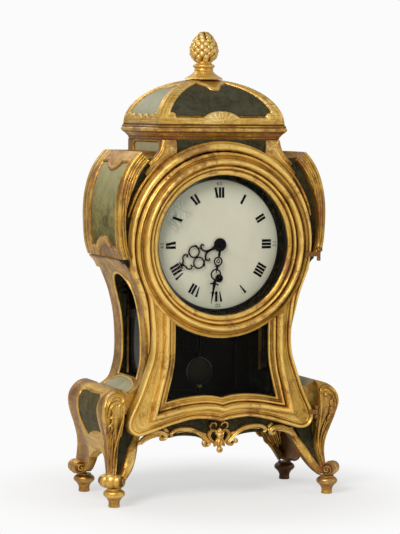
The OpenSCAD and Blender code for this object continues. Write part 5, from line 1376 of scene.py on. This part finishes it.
class CLOCK_OT_windows(bpy.types.Operator):
    """Raised bead round each arched side window, and the half discs below them, on the waisted wall"""

    bl_idname = "clock.windows"
    bl_label = "Window beads"

    def execute(self, context):
        low, high = box_mm("side_glasses")
        y0, y1, z0, z1 = low[1] + PANE_LAP, high[1] - PANE_LAP, low[2] + PANE_LAP, high[2] - PANE_LAP
        r = (y1 - y0) / 2
        top = arc(((y0 + y1) / 2, z1 - r), r + BEAD_OUT, 0, 180, 30)
        line = resample(np.vstack([[[y1 + BEAD_OUT, z0 - 2]], top, [[y0 - BEAD_OUT, z0 - 2]]]), 130)
        shell, discs = Shell(), Shell()
        for sx in (1, -1):
            ridge(shell, line, 2.1, 1.7, waist_wall(sx), taper=0.02, tone=0.7)
        u, v = np.linspace(-1, 1, 41)[:, None], np.linspace(0, 1, 9)[None, :]
        y = DISC_Y + DISC_R * u
        z = DISC_Z + v * DISC_H * np.sqrt(np.clip(1 - u * u, 0.0004, 1))
        x = np.interp(z, WAIST[:, 1], WAIST[:, 0])
        edge = np.stack([y[:, 0], z[:, -1] + 0.4], 1)
        for sx in (1, -1):
            top = xyz(sx * (x + 0.5), y, z)
            # The half discs' tone paints them paler, as painted light
            slab(discs, top - [sx * 1.2, 0, 0.6], top, 0.35)
            ridge(shell, edge, 1.3, 1.4, waist_wall(sx), taper=0.1, tone=0.9)
        discs.build("ledge_half_discs", "sage", slot="green_paint", angle=40)
        shell.build("side_window_beads", "gilding")
        return {"FINISHED"}


class CLOCK_OT_pendulum(bpy.types.Operator):
    """Rim of the pendulum bob, bright steel round the bob's brass that is painted dark as shade"""

    bl_idname = "clock.pendulum"
    bl_label = "Rim of the bob"

    def execute(self, context):
        low, high = box_mm("pendulum_bob")
        x, y, z = (low + high) / 2
        a = np.radians(np.linspace(0, 360, 72, endpoint=False))[:, None]
        b = np.radians(np.linspace(0, 360, 8, endpoint=False))[None, :]
        thick = 0.55
        r = (high[0] - low[0]) / 2 - 0.2 + thick * np.cos(b)
        rim = Shell()
        rim.grid(xyz(x + r * np.cos(a), y + thick * np.sin(b), z + r * np.sin(a)), around=True, along=True)
        rim.build("pendulum_bob_rim", "steel", body="pendulum", slot="brass", angle=60)
        return {"FINISHED"}


# How far in from the edge, height above the foot, and tone of the gilding, which paints highlight on the beads and
# shade in the hollows
CORNICE = np.array(
    [
        (8.0, 0.0, -1), (8.0, 1.2, -0.6), (7.2, 2.0, -0.2), (7.4, 3.6, -0.9), (6.4, 4.2, -0.3), (5.0, 6.4, -0.1),
        (3.0, 8.6, 0.2), (2.0, 9.2, -1), (2.0, 9.9, -0.9), (0.9, 10.4, 0.3), (0.1, 12.0, 0.9), (0.1, 13.6, 0.8),
        (1.0, 14.8, 0.2), (1.4, 15.1, -1.0), (1.4, 15.9, -1.0), (0.9, 16.2, 0.3), (1.0, 17.2, 0.5),
        (1.7, 17.5, -0.9), (1.8, 18.0, -1.0),
    ]
)


class CLOCK_OT_cornice(bpy.types.Operator):
    """Cornice: hollow, bead and fillets carried round the neck with mitred corners"""

    bl_idname = "clock.cornice"
    bl_label = "Cornice"

    def execute(self, context):
        lo, hi = box_mm("cornice")
        # The tone counts as three millimetres so that its steps keep their places in the line
        line = resample(CORNICE * [1, 1, 3], 70)
        inset, height, tone = line[:, 0], line[:, 1], line[:, 2] / 3
        corners = np.array([(-hi[0], lo[1]), (hi[0], lo[1]), (hi[0], hi[1]), (-hi[0], hi[1]), (-hi[0], lo[1])])
        t = np.linspace(0, 1, 14, endpoint=False)[:, None]
        edge = np.concatenate([a + (b - a) * t for a, b in zip(corners, corners[1:])])
        mid = np.array([0.0, (lo[1] + hi[1]) / 2])
        half = np.array([hi[0], (hi[1] - lo[1]) / 2])
        flat = mid + (edge[None] - mid) * (1 - inset[:, None, None] / half)
        shell = Shell()
        p = xyz(flat[..., 0], flat[..., 1], (lo[2] + height)[:, None])
        shell.grid(p, around=True, caps=True, tone=tone[:, None], turned=True)
        shell.build("cornice_moulded", "brown_gilding", "cornice", angle=40)
        return {"FINISHED"}


DOME_X, DOME_MID, DOME_D, DOME_H, DOME_Z = 84.0, 12.0, 60.0, 57.0, 461.0
# Depth of the painted fields of the dome, of their backs, and the painted light and shade on each, palest on the
# left: front, right, back, left
DOME_PAINT, DOME_PAINT_BACK, DOME_PAINTED_LIGHT = -1.5, -2.9, (-0.55, 0.1, 0.1, 0.95)


def dome_face(a, u, half, side):
    """Depth and tone on one face of the dome: reeded ribs, a sunk field, a lunette below and a drop above.
    The field is the least of its distances from the parts round it, and a reed is sin^2(pi w / 6) high."""
    x, h = half * u * np.cos(a), DOME_H * np.sin(a)
    w = half * np.cos(a) * (1 - np.abs(u))
    low = 9.5 + (4.6 * np.abs(np.sin(np.pi * x / 21)) if side else 0)
    lunette = (np.hypot(x / 27, (h - 2) / 15.5) - 1) * 14
    drop = np.hypot(x, (h - DOME_H) * 0.9) - (9 if side else 12)
    drop = np.minimum(drop, 46 - h + np.abs(x) * 0.35)
    corner = np.hypot(np.abs(x) - half * np.cos(a) + 15, h - 8.5) - 7.5
    d = np.min(np.broadcast_arrays(w - 13, h - low, drop, corner, *([] if side else [lunette])), 0)
    off = -2.6 * ease(np.clip(d / 1.3, 0, 1))
    bead = np.exp(-(((d + 1.6) / 1.3) ** 2))
    reeds = (0.9 * np.sin(np.pi * w / 6.0) ** 2) * (w < 12) * (h > 9)
    off = off + 0.7 * bead + reeds * (d < 0) - 0.5
    # Tone paints shade in the field, along the foot and at the corners, and highlight on beads and reeds
    tone = np.where(d > 0, -0.8, 0.05) + 0.7 * bead + 0.6 * reeds - 0.5 * (w < 0.8) - 1.5 * (h < 1.6)
    if not side:
        fan = np.abs(np.sin(9 * np.arctan2(h, x)))
        leaf = (lunette < -1.5) & (h > 1.6)
        tone = tone + np.where(leaf, 0.5 - 0.9 * (fan < 0.25), 0)
        off = off + np.where(leaf, 0.8 * fan - 0.2, 0)
    return off, tone


class CLOCK_OT_dome(bpy.types.Operator):
    """Domed top: four faces with ribs, lunettes and marbled fields, on an oval curve"""

    bl_idname = "clock.dome"
    bl_label = "Dome"

    def execute(self, context):
        a = np.radians(np.linspace(0, 90, 84))[:, None]
        u = np.linspace(-1, 1, 130, endpoint=False)[None, :]
        inside = (slice(12, 74), slice(8, 122))
        rows, tones, fields = [], [], Shell()
        for k, light in enumerate(DOME_PAINTED_LIGHT):
            side = k % 2 == 1
            half, deep = (DOME_D, DOME_X) if side else (DOME_X, DOME_D)
            off, tone = dome_face(a, u, half, side)
            off = off * np.cos(a) ** 0.15
            along, out = half * u * np.cos(a), deep * np.cos(a)
            na, nz = np.cos(a) / deep, np.sin(a) / DOME_H
            size = np.hypot(na, nz)
            fade = np.clip((1 - np.abs(u)) * half * np.cos(a) / 1.5, 0, 1)
            turn = math.radians(90 * k)

            def place(off):
                q = out + off * na / size
                z = np.maximum(DOME_Z + DOME_H * np.sin(a) + off * nz / size, DOME_Z)
                x = along * math.cos(turn) + q * math.sin(turn)
                y = along * math.sin(turn) - q * math.cos(turn)
                return xyz(x, y + DOME_MID, z)

            rows.append(place(off * fade))
            tones.append(tone)
            slab(fields, place(DOME_PAINT_BACK)[inside], place(DOME_PAINT)[inside], light)
        shell = Shell()
        shell.grid(np.concatenate(rows, 1), around=True, caps=True, tone=np.concatenate(tones, 1), turned=True)
        shell.build("dome_ribbed", "gilding", "dome_frame", merge=0.005)
        fields.build("dome_fields", "black_green", "dome_panels", slot="green_paint", angle=35)
        return {"FINISHED"}


FINIAL_H, CONE_H, CONE_R, CONE_FOOT, CONE_MOST = 61, 42.0, 18.2, 18.5, 19.9
FINIAL_BASE = smooth(
    [(24, -0.3), (22.4, 1.6), (18.4, 4.0), (14.6, 6.6), (12.2, 9.2), (11.4, 10.2), (12.0, 11.0), (11.6, 12.4),
     (11.2, 13.4), (12.8, 14.6), (13.6, 16.2), (12.8, 17.8), (11, 18.4), (10, 19.4), (9, 22)], 6
)


def cone_radius(t):
    """Radius of the pinecone: r sin(pi t^0.74)^0.62, for t from 0 at its foot to 1 at its tip."""
    return CONE_R * np.sin(np.pi * np.clip(t, 0.001, 0.999) ** 0.74) ** 0.62


class CLOCK_OT_finial(bpy.types.Operator):
    """Pinecone finial: a turned base and rows of scales, each a leaf whose tip lifts off the cone"""

    bl_idname = "clock.finial"
    bl_label = "Pinecone"

    def execute(self, context):
        shell = Shell()
        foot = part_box("finial")[1].z / MM - FINIAL_H
        lathe(shell, np.vstack([[[0, -0.3]], FINIAL_BASE, [[0, 24]]]), (0, DOME_MID, foot))
        foot += CONE_FOOT
        t = np.linspace(0.0, 1.0, 40)
        core = np.stack([cone_radius(t) * 0.86, CONE_H * (0.02 + 0.95 * t)], 1)
        core[0, 0] = core[-1, 0] = 0
        # The core between the scales is painted dark as shade
        lathe(shell, core, (0, DOME_MID, foot), 32, tone=-1.0)
        rows = context.scene.clock_sizes.scale_rows
        v = np.linspace(0, 1, 8)[:, None]
        w = np.linspace(-1, 1, 7)[None, :]
        wide = np.sin(np.pi * np.clip(0.16 + 0.84 * v, 0, 1)) ** 0.55 * (1 - 0.25 * v)
        lift = (0.4 + 2.7 * np.sin(np.pi * np.clip(v * 0.92 + 0.06, 0, 1)) ** 0.8) * (1 - 0.75 * np.abs(w) ** 2)
        crease = -0.45 * np.exp(-((w / 0.2) ** 2)) * v
        shade = 1.0 - 1.7 * np.abs(w) ** 2 - 0.8 * (1 - v) ** 2
        shade = np.concatenate([shade, -np.ones(shade.shape)], 1)
        for row in range(rows + 1):
            count = 9 if 0 < row < rows - 1 else 7 if row < rows else 5
            t = np.clip((row - 0.25) / (rows + 0.9) + v * 1.75 / (rows + 0.9), 0.02, 0.985)
            r = np.minimum(cone_radius(t) * 0.86 + lift + crease, CONE_MOST)
            for k in range(count):
                a = 2 * np.pi * (k + 0.5 * (row % 2)) / count + w * wide * np.pi / count * 1.06
                p = xyz(r * np.cos(a), r * np.sin(a) + DOME_MID, foot + CONE_H * (0.02 + 0.95 * t))
                q = (p - [0, DOME_MID, 0]) * [0.8, 0.8, 1] + [0, DOME_MID, 0]
                slab(shell, q, p, shade)
        shell.build("finial_cone", "bright_gilding", "finial", angle=60, merge=0.003)
        return {"FINISHED"}


# Pieces whose solids only need joining and a finish

PLAIN = {
    "gilding": "side_apron_left side_apron_right",
    "tan_gilding": "base_ledges",
    "worn_gilding": "side_frame_left side_frame_right case_front",
    "deep_green": "side_panels",
    "inside": "dial_ring",
    "night_green": "front_apron",
    "board": "base_floor rear_apron case_back rear_door seat_board",
    "pane": "side_glasses dial_glass lower_glass",
    "enamel": "dial",
    "black": "hour_hand minute_hand hand_nut winding_grommet winding_arbor",
    "steel": "anchor",
    # Bob and rod painted dark as shade inside the case
    "dark_brass": "pendulum_bob pendulum_rod",
    # Hinges in the darkest gilding as painted shade
    "shaded_gilding": "door_hinges door_hinge_leaves",
    "brass": (
        "rear_door_hinges rear_door_leaves rear_door_button movement_plates plate_pillars barrel centre_wheel "
        "third_wheel escape_wheel rating_nut suspension cannon_pinion hour_wheel minute_wheel"
    ),
}


def wall_inside(c, n):
    """The reveal and the inner faces of a side wall, which take the nearly black paint as painted shade."""
    reveal = (np.abs(c[:, 1] - 1) < 33) & (c[:, 2] > 148)
    inner = (np.abs(c[:, 0]) < 93) & (n[:, 0] * c[:, 0] < 0)
    return (n[:, 0] * np.sign(c[:, 0]) < 0.4) & (reveal | inner)


# Second finish of some pieces, and the test of a face's centre in millimetres and normal that gives it
SECOND = {
    # The slot beside the hood and the faces inside the case take near-black green, dark paint deepened as painted
    # shade
    "case_front": ("night_green", lambda c, n: (c[:, 2] > 292) | (n[:, 1] > 0.5)),
    "side_frame_left": ("inside", wall_inside),
    "side_frame_right": ("inside", wall_inside),
    "base_ledges": ("sage", lambda c, n: (n[:, 2] > 0.6) & (np.abs(c[:, 0]) < 134)),
}


class CLOCK_OT_plain(bpy.types.Operator):
    """Boards, side aprons and frames, glass and wheelwork: the frame's own shapes with their finishes"""

    bl_idname = "clock.plain"
    bl_label = "Boards and wheelwork"

    def execute(self, context):
        stood_for = set()
        for o in context.scene.objects:
            stood_for.update(o.get("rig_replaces", []))
        for finish, names in PLAIN.items():
            for node in names.split():
                if node not in stood_for:
                    smoothed_copy(node, finish, *SECOND.get(node, ()))
        return {"FINISHED"}


# Stage

CAMERA_MM = (-1078.0, -2521.5, 482.4)
AZIMUTH, ELEVATION, ROLL = -23.0, 4.14, 0.55
FOCAL_PX, SENSOR_MM = 2200.0, 36
PICTURE = (400, 534)
FLOOR_HALF, LOOK_AT = 8.0, (0, 0, 0.27)
BACKDROP = (0.965, 0.965, 0.965, 1)
# Name, place, power in watts, width in metres and colour
LAMPS = (
    ("key", (-1.5, -1.25, 1.7), 38, 0.9, (1.0, 0.98, 0.94)),
    ("fill", (1.6, -1.4, 1.0), 7, 1.4, (0.95, 0.97, 1.0)),
    ("back", (-0.6, 1.5, 1.7), 8, 1.2, (1.0, 1.0, 1.0)),
)


def set_camera(scene):
    """The camera of the photograph: its axes from azimuth, elevation and roll."""
    a, e, r = np.radians([AZIMUTH, ELEVATION, ROLL])
    right = np.array([math.cos(a), math.sin(a), 0])
    back = np.array([math.sin(a) * math.cos(e), -math.cos(a) * math.cos(e), math.sin(e)])
    up = np.cross(back, right)
    x, y = math.cos(r) * right + math.sin(r) * up, -math.sin(r) * right + math.cos(r) * up
    place = np.eye(4)
    place[:3] = np.stack([x, y, back, np.array(CAMERA_MM) * MM], 1)
    camera = bpy.data.objects.new("camera", bpy.data.cameras.new("camera"))
    scene.collection.objects.link(camera)
    camera.matrix_world = Matrix(place.tolist())
    camera.data.sensor_width = SENSOR_MM
    camera.data.lens = FOCAL_PX / max(PICTURE) * SENSOR_MM
    camera.data.clip_end = 50
    scene.camera = camera


def lay_floor(scene):
    """A pale floor that takes the shadow near the feet and fades into the backdrop away from them."""
    s = FLOOR_HALF
    mesh = bpy.data.meshes.new("floor")
    mesh.from_pydata([(-s, -s, 0), (s, -s, 0), (s, s, 0), (-s, s, 0)], [], [(0, 1, 2, 3)])
    floor = bpy.data.objects.new("floor", mesh)
    scene.collection.objects.link(floor)
    m = Maker("floor")
    seen = m.add("ShaderNodeLightPath")
    direct = m.math("MAXIMUM", seen.outputs["Is Camera Ray"], seen.outputs["Is Transmission Ray"])
    matt = m.wire(m.add("ShaderNodeBsdfDiffuse"), Color=(0.86, 0.86, 0.86, 1))
    glow = m.wire(m.add("ShaderNodeEmission"), Color=BACKDROP, Strength=1.0)
    away = m.wire(m.add("ShaderNodeVectorMath", operation="LENGTH"), i0=m.place).outputs["Value"]
    plain = m.add("ShaderNodeMapRange", interpolation_type="SMOOTHSTEP")
    m.wire(plain, Value=away, From_Min=0.14, From_Max=0.34, To_Min=0.55, To_Max=1.0)
    share = m.math("MULTIPLY", direct, plain.outputs[0])
    both = m.wire(m.add("ShaderNodeMixShader"), i0=share, i1=matt.outputs[0], i2=glow.outputs[0])
    m.tree.links.new(both.outputs[0], m.out.inputs[0])
    mesh.materials.append(m.material)


def set_world(scene):
    """Soft sky light, with the plain backdrop where the camera sees it, also through glass."""
    world = bpy.data.worlds.new("studio")
    scene.world = world
    world.use_nodes = True
    nodes, link = world.node_tree.nodes, world.node_tree.links.new
    nodes.clear()
    out = nodes.new("ShaderNodeOutputWorld")
    path = nodes.new("ShaderNodeLightPath")
    either = nodes.new("ShaderNodeMath")
    either.operation = "MAXIMUM"
    link(path.outputs["Is Camera Ray"], either.inputs[0])
    link(path.outputs["Is Transmission Ray"], either.inputs[1])
    choose = nodes.new("ShaderNodeMixShader")
    link(either.outputs[0], choose.inputs[0])
    for slot, colour, strength in ((1, (1.0, 0.98, 0.95, 1), 0.42), (2, BACKDROP, 1.0)):
        light = nodes.new("ShaderNodeBackground")
        light.inputs[0].default_value = colour
        light.inputs[1].default_value = strength
        link(light.outputs[0], choose.inputs[slot])
    link(choose.outputs[0], out.inputs[0])


class CLOCK_OT_stage(bpy.types.Operator):
    """Camera of the photograph, plain pale floor, soft light from the upper left"""

    bl_idname = "clock.stage"
    bl_label = "Stage"

    def execute(self, context):
        scene = context.scene
        set_camera(scene)
        lay_floor(scene)
        set_world(scene)
        for name, spot, power, width, colour in LAMPS:
            light = bpy.data.lights.new(name, "AREA")
            light.energy, light.size, light.color = power, width, colour
            lamp = bpy.data.objects.new(name, light)
            scene.collection.objects.link(lamp)
            lamp.location = spot
            lamp.rotation_mode = "QUATERNION"
            lamp.rotation_quaternion = (Vector(LOOK_AT) - Vector(spot)).to_track_quat("-Z", "Y")
        scene.view_settings.view_transform = "Standard"
        return {"FINISHED"}


class CLOCK_PT_panel(bpy.types.Panel):
    """Colours and sizes of the clock, and a button for each group of pieces"""

    bl_idname = "CLOCK_PT_panel"
    bl_label = "Table clock"
    bl_space_type = "VIEW_3D"
    bl_region_type = "UI"
    bl_category = "Clock"

    def draw(self, context):
        for group in (context.scene.clock_colours, context.scene.clock_sizes):
            for name in group.__annotations__:
                self.layout.prop(group, name)
        for operator in OPERATORS:
            self.layout.operator(operator.bl_idname)


OPERATORS = (
    CLOCK_OT_stage, CLOCK_OT_door, CLOCK_OT_numerals, CLOCK_OT_hands, CLOCK_OT_hood, CLOCK_OT_legs, CLOCK_OT_apron,
    CLOCK_OT_shoulders, CLOCK_OT_neck, CLOCK_OT_windows, CLOCK_OT_pendulum, CLOCK_OT_cornice, CLOCK_OT_dome,
    CLOCK_OT_finial, CLOCK_OT_plain,
)
CLASSES = (ClockColours, ClockSizes, *OPERATORS, CLOCK_PT_panel)


def register():
    for made in CLASSES:
        bpy.utils.register_class(made)
    bpy.types.Scene.clock_colours = PointerProperty(type=ClockColours)
    bpy.types.Scene.clock_sizes = PointerProperty(type=ClockSizes)


def unregister():
    del bpy.types.Scene.clock_sizes
    del bpy.types.Scene.clock_colours
    for made in reversed(CLASSES):
        bpy.utils.unregister_class(made)


def main():
    register()
    for operator in OPERATORS:
        group, name = operator.bl_idname.split(".")
        getattr(getattr(bpy.ops, group), name)()


if __name__ == "__main__":
    main()
